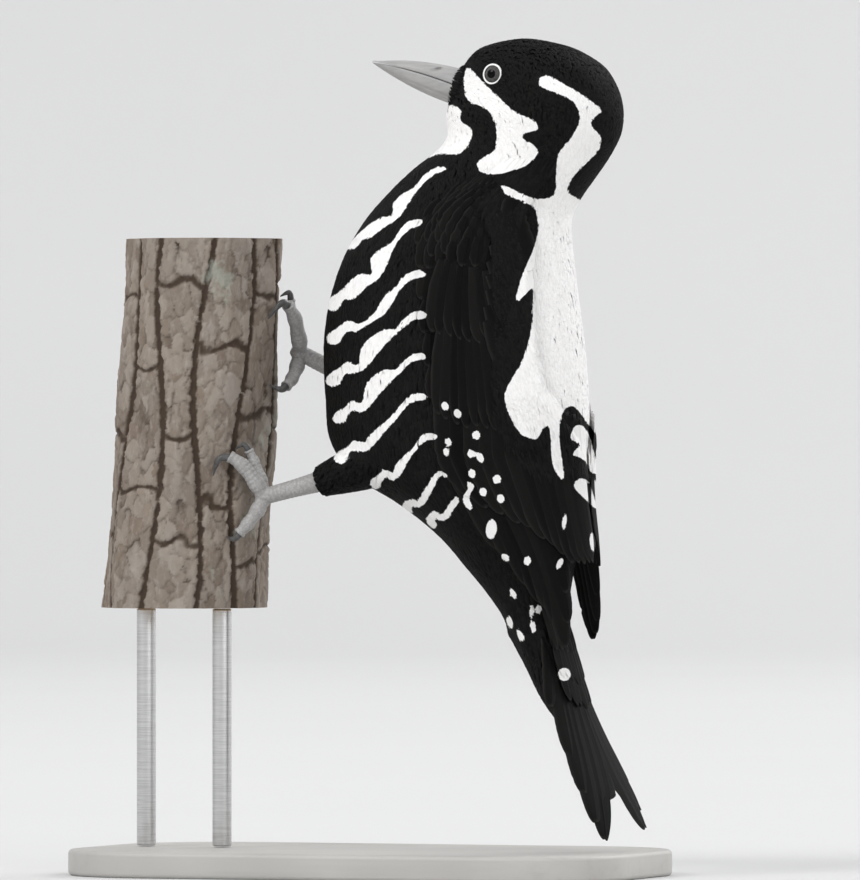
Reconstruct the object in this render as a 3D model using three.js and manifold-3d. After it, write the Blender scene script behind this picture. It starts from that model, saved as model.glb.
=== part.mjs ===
// A life-size three-toed woodpecker clinging to a short length of trunk, on a plain display stand.
// Millimetres. +Z is up, the bird faces -X, its left side is at -Y, and the origin is the centre
// of the stand's underside.
import * as THREE from "three";
import { mergeVertices } from "three/addons/utils/BufferGeometryUtils.js";
import Module from "manifold-3d";

const wasm = await Module();
wasm.setup();

// ---------------------------------------------------------------- driving dimensions
const GAP = 0.3; // clearance between nodes that touch
const DEG = Math.PI / 180;
const LEFT = -1; // side of the bird, as the sign of y
const RIGHT = 1;

// The feathered body from the crown down to the root of the tail. Each row is one level section:
// height, foremost x, rearmost x, half-width, and how much it narrows towards the front.
const BODY = [
  [225.3, 42.5, 46.5, 2.4, 0.0],
  [224.4, 37.0, 51.6, 5.6, 0.05],
  [222.8, 31.8, 57.6, 8.8, 0.12],
  [220.4, 28.9, 62.4, 11.6, 0.2],
  [217.4, 26.8, 66.5, 13.8, 0.28],
  [213.3, 24.9, 69.2, 15.3, 0.31],
  [209.0, 23.2, 70.9, 16.1, 0.29],
  [204.4, 22.2, 71.6, 16.3, 0.22],
  [199.8, 22.9, 71.2, 16.0, 0.12],
  [195.8, 20.3, 69.5, 15.7, 0.04],
  [191.7, 14.8, 66.9, 15.9, 0.0],
  [187.1, 9.3, 63.3, 16.6, 0.0],
  [182.3, 4.5, 59.6, 17.6, 0.0],
  [177.9, 0.5, 57.2, 18.8, 0.0],
  [171.5, -3.9, 56.9, 20.6, 0.0],
  [163.4, -7.9, 57.8, 22.2, 0.0],
  [152.6, -11.0, 59.1, 23.6, 0.0],
  [141.8, -12.2, 60.6, 24.3, 0.0],
  [128.3, -11.6, 61.6, 24.5, 0.0],
  [117.5, -10.4, 61.6, 24.0, 0.0],
  [108.0, -3.4, 60.9, 22.6, 0.0],
  [99.9, 10.0, 60.2, 20.0, 0.0],
  [91.8, 20.6, 59.2, 17.0, 0.0],
  [83.7, 28.0, 57.8, 14.2, 0.0],
  [75.6, 35.0, 56.4, 11.8, 0.0],
  [67.5, 40.6, 55.6, 10.0, 0.0],
  [58.0, 45.0, 57.0, 9.0, 0.0],
];
// Below this height the folded wings leave the rump and hang straight down behind it.
const MANTLE = [
  [112.0, -8.0, 61.2, 23.4, 0.0],
  [100.0, 8.0, 61.7, 21.6, 0.0],
  [90.0, 19.0, 62.8, 19.5, 0.0],
  [80.0, 27.5, 63.6, 17.4, 0.0],
  [70.0, 33.5, 64.2, 15.4, 0.0],
  [60.0, 37.0, 64.4, 13.6, 0.0],
];
const BODY_RINGS = 32;
const BODY_SIDES = 24;

// The planes that part the head, neck, torso and tail: height at x = 0, slope.
const HEAD_PLANE = { height: 214.1, slope: -0.37 };
const NECK_PLANE = { height: 194.2, slope: -0.32 };
const TAIL_PLANE = { height: 42.5, slope: 0.4 };

// An eye sinks into the head by its depth, and its lids are turned from the head's surface towards
// straight sideways.
const EYE = { height: 215.85, angle: 112, radius: 3.3, depth: 1.95, turn: 0.8 };
const LID = { radius: 3.0, thick: 0.55, lift: 0.4 };
const BILL = { tipX: 0.75, tipZ: 219.55, length: 23.6, halfWidth: 4.4, tipHalfWidth: 0.75 };

const TAIL = { halfWidth: 16, vault: 3.0, vaneThick: 0.6 };
// Past its first stretch the fan flattens, rolls and swings a little to the left.
const TAIL_TIP = { from: 20, vault: 1.2, roll: 0.1, swing: -4.2 };
// The line of the tail's upper surface, in the plane of symmetry.
const TAIL_LINE = [
  [49.6, 78],
  [54.2, 66],
  [58.4, 53.5],
  [63.0, 42],
  [67.8, 31.5],
  [72.2, 21.5],
  [76.4, 10.6],
];

const PERCH = { radius: 21.5, bottom: 72, top: 172, axisX: -50.6, lean: 0.064, middle: 122, swell: 0.55 };
// Wandering furrows part the bark into ribs, and cracks across the ribs part it into plates.
const BARK = { ribs: 11, wander: 0.2, depth: 0.9, furrow: 1.3, crack: 1.4, drift: 4.5 };
const BARK_CRACKS = [88, 105, 122, 139, 156]; // heights, from which each rib's own cracks drift
const BASE = { length: 158, width: 92, thick: 7, corner: 30, bevel: 1.2 };
const ROD = { radius: 2.6, spread: 11 };

// ---------------------------------------------------------------- solids and meshes
function solidOf(geometry) {
  const bare = geometry.clone();
  bare.deleteAttribute("normal");
  bare.deleteAttribute("uv");
  const merged = mergeVertices(bare, 1e-4);
  const solid = new wasm.Manifold(
    new wasm.Mesh({
      numProp: 3,
      vertProperties: new Float32Array(merged.attributes.position.array),
      triVerts: new Uint32Array(merged.index.array),
    }),
  );
  return solid;
}

function geometryOf(solid) {
  const mesh = solid.getMesh();
  const places = new Float32Array(mesh.numVert * 3);
  for (let i = 0; i < mesh.numVert; i++) {
    places.set(mesh.vertProperties.subarray(i * mesh.numProp, i * mesh.numProp + 3), i * 3);
  }
  return new THREE.BufferGeometry()
    .setAttribute("position", new THREE.BufferAttribute(places, 3))
    .setIndex(new THREE.BufferAttribute(mesh.triVerts, 1));
}

// The largest of a solid's closed surfaces.
function largest(solid) {
  return solid.decompose().sort((a, b) => b.volume() - a.volume())[0];
}

const union = (solids) => largest(solids.reduce((a, b) => a.add(b)));

// A closed solid from points in rows of equal length: each row is a ring, and fans close both ends.
function ringSolid(rings) {
  const count = rings[0].length;
  const places = rings.flat();
  const faces = [];
  for (let i = 0; i + 1 < rings.length; i++) {
    for (let j = 0; j < count; j++) {
      const next = (j + 1) % count;
      const [a, b] = [i * count + j, i * count + next];
      faces.push(a, b, b + count, a, b + count, a + count);
    }
  }
  for (const [ring, turned] of [[0, true], [rings.length - 1, false]]) {
    const middle = rings[ring]
      .reduce((sum, p) => sum.add(p), new THREE.Vector3())
      .multiplyScalar(1 / count);
    places.push(middle);
    for (let j = 0; j < count; j++) {
      const [a, b] = [ring * count + j, ring * count + ((j + 1) % count)];
      faces.push(...(turned ? [places.length - 1, b, a] : [places.length - 1, a, b]));
    }
  }
  return facingOut(places, faces);
}

function facingOut(places, faces) {
  let volume = 0;
  for (let i = 0; i < faces.length; i += 3) {
    const [a, b, c] = [places[faces[i]], places[faces[i + 1]], places[faces[i + 2]]];
    volume += a.dot(new THREE.Vector3().crossVectors(b, c));
  }
  if (volume < 0) faces.reverse();
  const geometry = new THREE.BufferGeometry();
  geometry.setAttribute(
    "position",
    new THREE.Float32BufferAttribute(places.flatMap((p) => [p.x, p.y, p.z]), 3),
  );
  geometry.setIndex(faces);
  return solidOf(geometry);
}

// A round tube along points, with a radius for each point.
function tubeSolid(points, radii, sides = 8, steps = 8) {
  const curve = new THREE.CatmullRomCurve3(points, false, "centripetal");
  const frames = curve.computeFrenetFrames(steps, false);
  const rings = [];
  for (let i = 0; i <= steps; i++) {
    const at = i / steps;
    const middle = curve.getPoint(at);
    const place = at * (radii.length - 1);
    const low = Math.min(Math.floor(place), radii.length - 2);
    const radius = THREE.MathUtils.lerp(radii[low], radii[low + 1], place - low);
    const tangent = curve.getTangent(at);
    const across = frames.normals[i].clone();
    across.addScaledVector(tangent, -across.dot(tangent)).normalize();
    const up = new THREE.Vector3().crossVectors(tangent, across);
    rings.push(
      Array.from({ length: sides }, (_, j) => {
        const turn = (j / sides) * 2 * Math.PI;
        return middle
          .clone()
          .addScaledVector(across, radius * Math.cos(turn))
          .addScaledVector(up, radius * Math.sin(turn));
      }),
    );
  }
  return ringSolid(rings);
}

const shifted = (plane, by) => ({ ...plane, height: plane.height + by });

// Everything below a sloping plane, or above it, as one large box.
function halfSpace({ height, slope }, above) {
  const size = 400;
  const box = new THREE.BoxGeometry(size, size, size);
  box.translate(0, 0, above ? size / 2 : -size / 2);
  box.rotateY(-Math.atan(slope));
  box.translate(0, 0, height);
  return solidOf(box);
}

// All of one side of the bird, up to the middle of its back.
function halfOfBody(side) {
  const size = 400;
  const box = new THREE.BoxGeometry(size, size, size);
  return solidOf(box.translate(0, side * (size / 2 + GAP / 2), size / 2));
}

// Repeatable draws for the small differences between like feathers.
function drawer(seed) {
  let state = seed;
  return (spread) => {
    state = (Math.imul(state, 1664525) + 1013904223) >>> 0;
    return (state / 2 ** 32 - 0.5) * 2 * spread;
  };
}

// ---------------------------------------------------------------- the body's surface
// Catmull-Rom through the rows of a table; place runs from 0 to the last row's number.
function rowAt(table, place) {
  const last = table.length - 1;
  const low = Math.min(Math.max(Math.floor(place), 0), last - 1);
  const share = place - low;
  const row = (i) => table[Math.min(Math.max(i, 0), last)];
  return table[low].map((_, column) => {
    const [a, b, c, d] = [row(low - 1), row(low), row(low + 1), row(low + 2)].map((r) => r[column]);
    const straight = 2 * b + (c - a) * share;
    const bent = (2 * a - 5 * b + 4 * c - d) * share ** 2 + (3 * b - a - 3 * c + d) * share ** 3;
    return (straight + bent) / 2;
  });
}

function sectionAt(table, height) {
  let [low, high] = [0, table.length - 1];
  for (let i = 0; i < 40; i++) {
    const middle = (low + high) / 2;
    if (rowAt(table, middle)[0] > height) low = middle;
    else high = middle;
  }
  return rowAt(table, low);
}

// The point of a section at an angle from the middle of the back, 180 being the middle of the breast.
function onSection([height, front, back, halfWidth, taper], angle, grow, side = LEFT) {
  const turn = angle * DEG;
  const x = (front + back) / 2 + ((back - front) / 2 + grow) * Math.cos(turn);
  const y = (halfWidth + grow) * Math.sin(turn) * (1 + taper * Math.cos(turn));
  return new THREE.Vector3(x, side * y, height);
}

function bodySolid(grow) {
  const rings = Array.from({ length: BODY_RINGS }, (_, i) => {
    const row = rowAt(BODY, (i / (BODY_RINGS - 1)) * (BODY.length - 1));
    return Array.from({ length: BODY_SIDES }, (_, j) =>
      onSection(row, (j / BODY_SIDES) * 360, grow, RIGHT),
    );
  });
  for (const p of rings[0]) p.z += grow;
  return ringSolid(rings);
}

const body = bodySolid(0);
const bodyWithGap = bodySolid(GAP);

// The surface that a folded wing lies on: the body as far as the rump, then the mantle.
const wingBed = [...BODY.filter((row) => row[0] > MANTLE[0][0] + 4), ...MANTLE];
const wingPoint = (side) => (height, angle, lift) =>
  onSection(sectionAt(wingBed, height), angle, lift, side);

// ---------------------------------------------------------------- feathers
// One vane on a surface. point(a, b, lift) is the surface. The vane's middle runs from root to tip,
// both [a, b], and a splay over 1 keeps it straight until near its tip. It narrows past its shoulder,
// and its two edges are tilted, so that neighbours lap like tiles. Both faces have like triangles.
// A worn feather has lost that share of one edge near its tip; the sign says which edge.
const LONG_VANE = [0, 0.38, 0.7, 0.9, 1];
const SHORT_VANE = [0, 0.45, 0.8, 1];
const WEAR = [0.78, 0.86]; // where along a feather the wear begins and is complete

function vane(point, { root, tip, splay = 1, halfWidth, lift, tilt, thick, stations, shoulder, worn = 0 }) {
  const across = [-1, 0, 1];
  const step = 1e-3;
  const middleAt = (at) => [
    THREE.MathUtils.lerp(root[0], tip[0], at),
    THREE.MathUtils.lerp(root[1], tip[1], at ** splay),
  ];
  const widthAt = (at) => {
    if (at <= shoulder) return halfWidth * (0.62 + 0.38 * Math.min(1, at / 0.35));
    const past = (at - shoulder) / (1 - shoulder);
    return halfWidth * Math.max(0.16, Math.sqrt(Math.max(0, 1 - past ** 2)));
  };
  const faces = [[], []];
  for (const at of stations) {
    const [a, b] = middleAt(at);
    const [a2, b2] = middleAt(at + step);
    const here = point(a, b, lift);
    const along = point(a2, b2, lift).sub(here).normalize();
    const byA = point(a + step, b, lift).sub(here).divideScalar(step);
    const byB = point(a, b + step, lift).sub(here).divideScalar(step);
    const normal = new THREE.Vector3().crossVectors(byA, byB).normalize();
    const sideways = new THREE.Vector3().crossVectors(normal, along);
    const [aa, ab, bb] = [byA.dot(byA), byA.dot(byB), byB.dot(byB)];
    const [ya, yb] = [byA.dot(sideways), byB.dot(sideways)];
    const det = aa * bb - ab * ab;
    const [da, db] = [(ya * bb - yb * ab) / det, (yb * aa - ya * ab) / det];
    const width = widthAt(at);
    for (const edge of across) {
      const lost = edge * worn > 0 ? Math.abs(worn) * THREE.MathUtils.smoothstep(at, ...WEAR) : 0;
      const reach = width * edge * (1 - lost);
      const place = [a + da * reach, b + db * reach];
      const level = lift + tilt * edge;
      const half = (thick / 2) * (at === 1 ? 0.7 : 1);
      const arch = edge === 0 ? thick * 0.18 : 0;
      faces[0].push(point(...place, level + half + arch));
      faces[1].push(point(...place, level - half + arch));
    }
  }
  const count = stations.length * 3;
  const places = [...faces[0], ...faces[1]];
  const triangles = [];
  const quad = (a, b, c, d) => triangles.push(a, b, c, a, c, d);
  for (let i = 0; i + 1 < stations.length; i++) {
    for (let j = 0; j < 2; j++) {
      const a = i * 3 + j;
      quad(a, a + 1, a + 4, a + 3);
      const below = a + count;
      triangles.push(below, below + 4, below + 1, below, below + 3, below + 4);
    }
    const [l, r] = [i * 3, i * 3 + 2];
    quad(l, l + 3, l + 3 + count, l + count);
    quad(r, r + count, r + 3 + count, r + 3);
  }
  const end = count - 3;
  for (let j = 0; j < 2; j++) {
    quad(j, j + count, j + 1 + count, j + 1);
    quad(end + j, end + j + 1, end + j + 1 + count, end + j + count);
  }
  return facingOut(places, triangles);
}

// ---------------------------------------------------------------- wings
// Each tier of a folded wing, from the feathers beneath to those on top. first and last are the
// tier's outermost feathers, with the root and tip of each as [height, angle from the back].
const WING_TIERS = [
  {
    name: "primaries",
    roots: [[122, 80], [112, 52]],
    tips: [[88, 84], [80, 74], [73.5, 65], [68, 56], [63.4, 47.5], [78, 42]],
    halfWidth: 3.5,
    lift: 0.95,
    shoulder: 0.74,
    stations: LONG_VANE,
  },
  {
    name: "secondaries",
    roots: [[138, 80], [124, 47]],
    tips: [[103, 82], [98.5, 71], [95, 60], [92, 49], [90.5, 38], [93, 26.5], [100, 15.5], [109, 7]],
    halfWidth: 4.0,
    lift: 1.5,
    shoulder: 0.66,
    stations: LONG_VANE,
  },
  {
    name: "greater_coverts",
    roots: [[150, 80], [146, 52]],
    tips: [[124, 84], [121.5, 76], [120.5, 68], [120.5, 60], [122, 52], [126, 47]],
    halfWidth: 3.5,
    lift: 1.95,
    shoulder: 0.6,
    stations: SHORT_VANE,
  },
  {
    name: "median_coverts",
    roots: [[166, 82], [162, 56]],
    tips: [[147, 85], [144.5, 76], [143.5, 67], [144, 58], [147, 50]],
    halfWidth: 4.0,
    lift: 2.15,
    shoulder: 0.5,
    stations: SHORT_VANE,
  },
  {
    name: "scapulars",
    roots: [[182, 58], [150, 60]],
    tips: [[166, 40], [155, 41], [144, 43], [131, 50]],
    halfWidth: 4.4,
    lift: 2.35,
    shoulder: 0.5,
    stations: SHORT_VANE,
  },
];
const VANE_THICK = 0.62;
const VANE_TILT = 0.34;
// The arm and small coverts under the feathers' roots: height, angles of its two edges, thickness.
const ARM = [
  [188.4, 88, 76, 0.4],
  [186, 95, 68, 1.0],
  [180.5, 100, 58, 1.6],
  [170, 93, 50, 2.0],
  [158, 89, 50, 2.0],
  [146, 87, 50, 1.9],
  [134, 86, 52, 1.6],
  [123, 84, 58, 1.0],
];

function armSolid(side) {
  const point = wingPoint(side);
  const strips = 5;
  const rings = ARM.map(([height, front, back, thick]) => {
    const ring = [];
    for (let j = 0; j <= strips; j++) {
      const share = j / strips;
      const crown = Math.sin(Math.PI * Math.min(Math.max(share, 0.06), 0.94));
      ring.push(point(height, THREE.MathUtils.lerp(front, back, share), 0.4 + thick * crown + 0.15));
    }
    for (let j = strips; j >= 0; j--) {
      ring.push(point(height, THREE.MathUtils.lerp(front, back, j / strips), 0.4));
    }
    return ring;
  });
  return ringSolid(rings);
}

function wingSolid(side) {
  const point = wingPoint(side);
  const vary = drawer(side === LEFT ? 11 : 23);
  const solids = [armSolid(side)];
  for (const tier of WING_TIERS) {
    for (let i = 0; i < tier.tips.length; i++) {
      const share = i / (tier.tips.length - 1);
      const [first, last] = tier.roots;
      solids.push(
        vane(point, {
          root: [0, 1].map((k) => THREE.MathUtils.lerp(first[k], last[k], share)),
          tip: [tier.tips[i][0] + vary(0.5), tier.tips[i][1] + vary(0.6)],
          halfWidth: tier.halfWidth,
          lift: tier.lift,
          tilt: side * VANE_TILT,
          thick: VANE_THICK,
          stations: tier.stations,
          shoulder: tier.shoulder,
        }),
      );
    }
  }
  return largest(union(solids).intersect(halfOfBody(side)));
}

// ---------------------------------------------------------------- tail
const tailCurve = new THREE.CatmullRomCurve3(TAIL_LINE.map(([x, z]) => new THREE.Vector3(x, 0, z)));
const tailLength = tailCurve.getLength();

// The point of the tail's vaulted fan at a distance down it and a distance from its middle.
function tailPoint(along, sideways, lift) {
  const at = Math.min(Math.max(along / tailLength, 0), 1);
  const tangent = tailCurve.getTangentAt(at);
  const beyond = along - at * tailLength;
  const normal = new THREE.Vector3(-tangent.z, 0, tangent.x);
  const share = THREE.MathUtils.smoothstep(along, TAIL_TIP.from, tailLength);
  const vault = THREE.MathUtils.lerp(TAIL.vault, TAIL_TIP.vault, share);
  const level = TAIL_TIP.roll * share * sideways - vault * (sideways / TAIL.halfWidth) ** 2;
  return tailCurve
    .getPointAt(at)
    .addScaledVector(tangent, beyond)
    .addScaledVector(normal, lift + level)
    .setY(sideways + TAIL_TIP.swing * share);
}

// From the middle pair outwards: distance from the middle at root and tip, how much shorter than
// the longest, half-width, and how far along it the point starts.
const TAIL_FEATHERS = [
  { root: 1.7, tip: 12.6, splay: 5, short: 0.4, halfWidth: 4.5, shoulder: 0.84 },
  { root: 3.6, tip: 14.4, splay: 2.2, short: 0.9, halfWidth: 4.3, shoulder: 0.8 },
  { root: 5.6, tip: 15.5, splay: 1.5, short: 6.5, halfWidth: 3.9, shoulder: 0.78 },
  { root: 7.0, tip: 15.8, splay: 1.3, short: 15, halfWidth: 3.4, shoulder: 0.78 },
  { root: 8.2, tip: 14.9, splay: 1.2, short: 25, halfWidth: 2.9, shoulder: 0.76 },
];
// How much shorter the right half of the tail is, and how worn its middle feathers' inner edges are.
const RIGHT_SHORT = 2.2;
const TAIL_WORN = { [LEFT]: [0.85, 0.5], [RIGHT]: [0.5] };
const TAIL_ROOT = 14; // how far down the tail's line the feathers' roots are
const TAIL_VANE = [0, 0.35, 0.62, 0.78, 0.86, 0.94, 1];

function tailSolid() {
  const vary = drawer(5);
  const solids = [];
  for (const side of [LEFT, RIGHT]) {
    TAIL_FEATHERS.forEach((feather, i) => {
      solids.push(
        vane(tailPoint, {
          root: [TAIL_ROOT, side * feather.root],
          tip: [
            tailLength - feather.short - (side === RIGHT ? RIGHT_SHORT : 0) + vary(0.2),
            side * (feather.tip + vary(0.3)),
          ],
          splay: feather.splay,
          halfWidth: feather.halfWidth,
          lift: -0.3 - 0.12 * i + (side === LEFT ? 0.12 : 0),
          tilt: -side * VANE_TILT * (i === 0 ? 0.2 : 1),
          thick: TAIL.vaneThick,
          stations: TAIL_VANE,
          shoulder: feather.shoulder,
          worn: -side * (TAIL_WORN[side][i] ?? 0),
        }),
      );
    });
  }
  solids.push(tailCoverts());
  return union(solids).intersect(halfSpace(shifted(TAIL_PLANE, -GAP / 2), false));
}

// The mass of coverts that the tail feathers grow from, above and below: distance down the tail,
// half-width, height above the fan and depth below it.
const COVERTS = [
  [6, 8.8, 1.4, 13.6],
  [13, 9.4, 1.4, 12.6],
  [20, 9.9, 1.2, 11.2],
  [28, 10.4, 0.9, 9.7],
  [36, 10.2, 0.3, 6.8],
  [43, 8.8, -0.1, 3.6],
  [49, 6.4, -0.5, 1.5],
];

function tailCoverts() {
  const sides = 16;
  const rings = COVERTS.map(([along, halfWidth, above, below]) =>
    Array.from({ length: sides }, (_, j) => {
      const turn = (j / sides) * 2 * Math.PI;
      const sine = Math.sin(turn);
      return tailPoint(along, halfWidth * Math.cos(turn), sine * (sine > 0 ? above : below) - 0.2);
    }),
  );
  return ringSolid(rings);
}

// ---------------------------------------------------------------- head, neck and torso
function eyeCentre(side) {
  const section = sectionAt(BODY, EYE.height);
  const surface = onSection(section, EYE.angle, 0, side);
  return surface.addScaledVector(eyeOutward(side), -EYE.depth);
}

function eyeOutward(side) {
  const section = sectionAt(BODY, EYE.height);
  const here = onSection(section, EYE.angle, 0, side);
  const round = onSection(section, EYE.angle + 1, 0, side).sub(here);
  const below = onSection(sectionAt(BODY, EYE.height - 1), EYE.angle, 0, side).sub(here);
  const outward = new THREE.Vector3().crossVectors(round, below).normalize();
  return outward.y * side < 0 ? outward.negate() : outward;
}

// The way that an eye and its lids face.
function eyeAxis(side) {
  return eyeOutward(side).lerp(new THREE.Vector3(0, side, 0), EYE.turn).normalize();
}

function eyeSolid(side, grow) {
  const ball = new THREE.SphereGeometry(EYE.radius + grow, 14, 9);
  const at = eyeCentre(side);
  return solidOf(ball.translate(at.x, at.y, at.z));
}

function lidSolid(side) {
  const ring = new THREE.TorusGeometry(LID.radius, LID.thick, 5, 16);
  const axis = eyeAxis(side);
  const toFace = new THREE.Quaternion().setFromUnitVectors(new THREE.Vector3(0, 0, 1), axis);
  const at = eyeCentre(side).addScaledVector(axis, EYE.depth + LID.lift);
  return solidOf(ring.applyQuaternion(toFace).translate(at.x, at.y, at.z));
}

function headSolid() {
  let head = body.intersect(halfSpace(shifted(HEAD_PLANE, GAP / 2), true));
  for (const side of [LEFT, RIGHT]) {
    head = head.add(lidSolid(side)).subtract(eyeSolid(side, GAP));
  }
  return largest(head);
}

const neckSolid = () =>
  body
    .intersect(halfSpace(shifted(HEAD_PLANE, -GAP / 2), false))
    .intersect(halfSpace(shifted(NECK_PLANE, GAP / 2), true));

const torsoSolid = () =>
  body
    .intersect(halfSpace(shifted(NECK_PLANE, -GAP / 2), false))
    .intersect(halfSpace(shifted(TAIL_PLANE, GAP / 2), true));

// ---------------------------------------------------------------- bill
// Heights of the ridge, the line of the mouth and the keel, as shares of the bill's length.
const ridge = (at) => BILL.tipZ + 0.1 + 1.9 * at - 3.7 * at ** 2;
const mouth = (at) => BILL.tipZ - 3.9 * at - 2.2 * at ** 2;
const keel = (at) => BILL.tipZ - 0.3 - 15.9 * at + 4.3 * at ** 2;
const BILL_STATIONS = [0, 0.1, 0.25, 0.45, 0.65, 0.85, 1.05, 1.25];
const BILL_ARC = 8;

function mandible(upper) {
  const halfGap = GAP / 2;
  const rings = BILL_STATIONS.map((at) => {
    const halfWidth = BILL.tipHalfWidth + (BILL.halfWidth - BILL.tipHalfWidth) * at ** 0.8;
    const foot = mouth(at) + (upper ? halfGap : -halfGap);
    const rise = upper ? Math.max(ridge(at) - foot, 0.35) : -Math.max(foot - keel(at), 0.35);
    const ring = [];
    for (let j = 0; j <= BILL_ARC; j++) {
      const turn = (j / BILL_ARC) * Math.PI;
      const y = halfWidth * Math.cos(turn);
      const z = foot + rise * Math.sin(turn) ** 0.85;
      ring.push(new THREE.Vector3(BILL.tipX + BILL.length * at, y, z));
    }
    return ring;
  });
  return ringSolid(rings);
}

// A slit in each side of the upper mandible, close to its root.
function nostril(side) {
  const slit = new THREE.SphereGeometry(1, 10, 6);
  slit.scale(1.7, 0.9, 0.55);
  slit.rotateY(-0.25);
  return solidOf(slit.translate(BILL.tipX + BILL.length * 0.83, side * 3.35, mouth(0.83) + 2.5));
}

function billSolid(upper) {
  let solid = mandible(upper).subtract(bodyWithGap);
  if (upper) solid = solid.subtract(nostril(LEFT)).subtract(nostril(RIGHT));
  return largest(solid);
}

// ---------------------------------------------------------------- perch
// The middle of the trunk at a height, and the bark's radius there.
const perchX = (height) => PERCH.axisX + PERCH.lean * (height - PERCH.middle);

function barkRadius(angle, height) {
  const swells = Math.sin(7 * angle + 0.05 * height) + 0.6 * Math.sin(4 * angle - 0.11 * height + 1);
  return PERCH.radius + PERCH.swell * swells - 0.012 * (height - PERCH.middle);
}

// A point round the trunk, at an angle from the side that faces the bird, off the bark by lift.
function barkPoint(degrees, lift, height) {
  const angle = degrees * DEG;
  const radius = barkRadius(angle, height) + lift;
  return new THREE.Vector3(perchX(height) + radius * Math.cos(angle), radius * Math.sin(angle), height);
}

// Where the furrow before a rib of bark runs at a height, as an angle round the trunk.
function furrowAngle(rib, height) {
  const wander = BARK.wander * Math.sin(0.06 * height + (6 * Math.PI * rib) / BARK.ribs);
  return ((rib + wander) / BARK.ribs) * 360;
}

function perchSolid() {
  const edge = BARK.furrow / PERCH.radius / DEG;
  const levels = [{ height: PERCH.bottom }];
  BARK_CRACKS.forEach((height, i) => {
    for (const off of [-BARK.crack, 0, BARK.crack]) levels.push({ height: height + off, crack: i, off });
  });
  levels.push({ height: PERCH.top });
  const rings = levels.map(({ height, crack, off }) => {
    const ring = [];
    for (let rib = 0; rib < BARK.ribs; rib++) {
      const inside = crack !== undefined;
      const h = height + (inside ? BARK.drift * Math.sin(2.4 * rib + 1.9 * crack) : 0);
      const [from, to] = [furrowAngle(rib, h), furrowAngle(rib + 1, h)];
      const lift = off === 0 && (rib + crack) % 2 === 0 ? -0.7 * BARK.depth : 0;
      ring.push(barkPoint(from, -BARK.depth, h));
      for (const angle of [from + edge, (from + to) / 2, to - edge]) ring.push(barkPoint(angle, lift, h));
    }
    return ring;
  });
  return ringSolid(rings);
}

// ---------------------------------------------------------------- legs
const at = (x, y, z) => new THREE.Vector3(x, y, z);
// Feathered thighs from inside the torso to the heel: points and radii.
const THIGHS = {
  left: {
    points: [at(9, -12.5, 112.5), at(-1, -13.4, 109), at(-9.8, -14.2, 106)],
    radii: [7.2, 5.8, 4.1],
  },
  right: {
    points: [at(10, 14.5, 113), at(3, 17.6, 122), at(-5.2, 18.3, 131.6)],
    radii: [7.6, 6.0, 4.0],
  },
};
// Each foot in bark coordinates: [angle round the trunk, lift off the bark, height]. A toe runs from
// the pad to the root of its claw, and the claw from there to its point on the bark.
const FEET = {
  left: {
    pad: [-25, 6.2, 102.2],
    toes: [
      {
        toe: [[-30, 5.8, 105.5], [-38, 4.4, 110.6], [-46, 3.3, 113.2]],
        claw: [[-51.5, 2.9, 112.4], [-53.5, 0.45, 107.8]],
        radii: [2.1, 1.9, 1.6],
      },
      {
        toe: [[-26, 5.4, 106.8], [-29, 3.9, 111.6], [-32.5, 3.2, 114.8]],
        claw: [[-35.5, 2.8, 116.2], [-38.5, 0.45, 114.9]],
        radii: [1.6, 1.4, 1.25],
      },
      {
        toe: [[-28, 5.4, 98.6], [-33, 4.2, 94.6], [-36.5, 3.2, 92.2]],
        claw: [[-38.5, 2.6, 90.8], [-41.5, 0.45, 91.4]],
        radii: [2.0, 1.7, 1.5],
      },
    ],
  },
  right: {
    pad: [25, 6.4, 141.2],
    toes: [
      {
        toe: [[18, 6.0, 144.6], [8, 4.6, 150.4], [-2, 3.4, 154.0]],
        claw: [[-8, 2.9, 154.4], [-12.5, 0.45, 150.2]],
        radii: [2.1, 1.9, 1.6],
      },
      {
        toe: [[24.5, 5.6, 146.2], [23.5, 4.3, 151.8], [22, 3.5, 155.6]],
        claw: [[20, 3.0, 157.4], [17, 0.45, 156.4]],
        radii: [1.6, 1.4, 1.25],
      },
      {
        toe: [[20, 5.4, 137.4], [12, 4.0, 133.9], [6, 3.2, 132.0]],
        claw: [[2.0, 2.6, 131.2], [-3.5, 0.45, 132.4]],
        radii: [2.0, 1.7, 1.5],
      },
    ],
  },
};
const TARSUS_RADII = [2.9, 2.4, 2.2];

const onBark = (place) => barkPoint(...place);

function thighSolid(name) {
  const { points, radii } = THIGHS[name];
  return largest(tubeSolid(points, radii, 12, 6).subtract(bodyWithGap));
}

// The scaled foot: the tarsus from the thigh's end to the pad, and the three toes.
function footSolid(name) {
  const pad = onBark(FEET[name].pad);
  const [, knee, heel] = THIGHS[name].points;
  const away = heel.clone().sub(knee).normalize();
  const start = heel.clone().addScaledVector(away, GAP);
  const middle = start.clone().lerp(pad, 0.5);
  const solids = [tubeSolid([start, middle, pad], TARSUS_RADII, 8, 4)];
  const ball = new THREE.SphereGeometry(2.7, 9, 7);
  solids.push(solidOf(ball.translate(pad.x, pad.y, pad.z)));
  for (const { toe, radii } of FEET[name].toes) {
    solids.push(tubeSolid([pad, ...toe.map(onBark)], [radii[0], ...radii], 7, 7));
  }
  const clear = tubeSolid(THIGHS[name].points, THIGHS[name].radii.map((r) => r + GAP), 12, 6);
  return largest(union(solids).subtract(clear));
}

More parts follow.
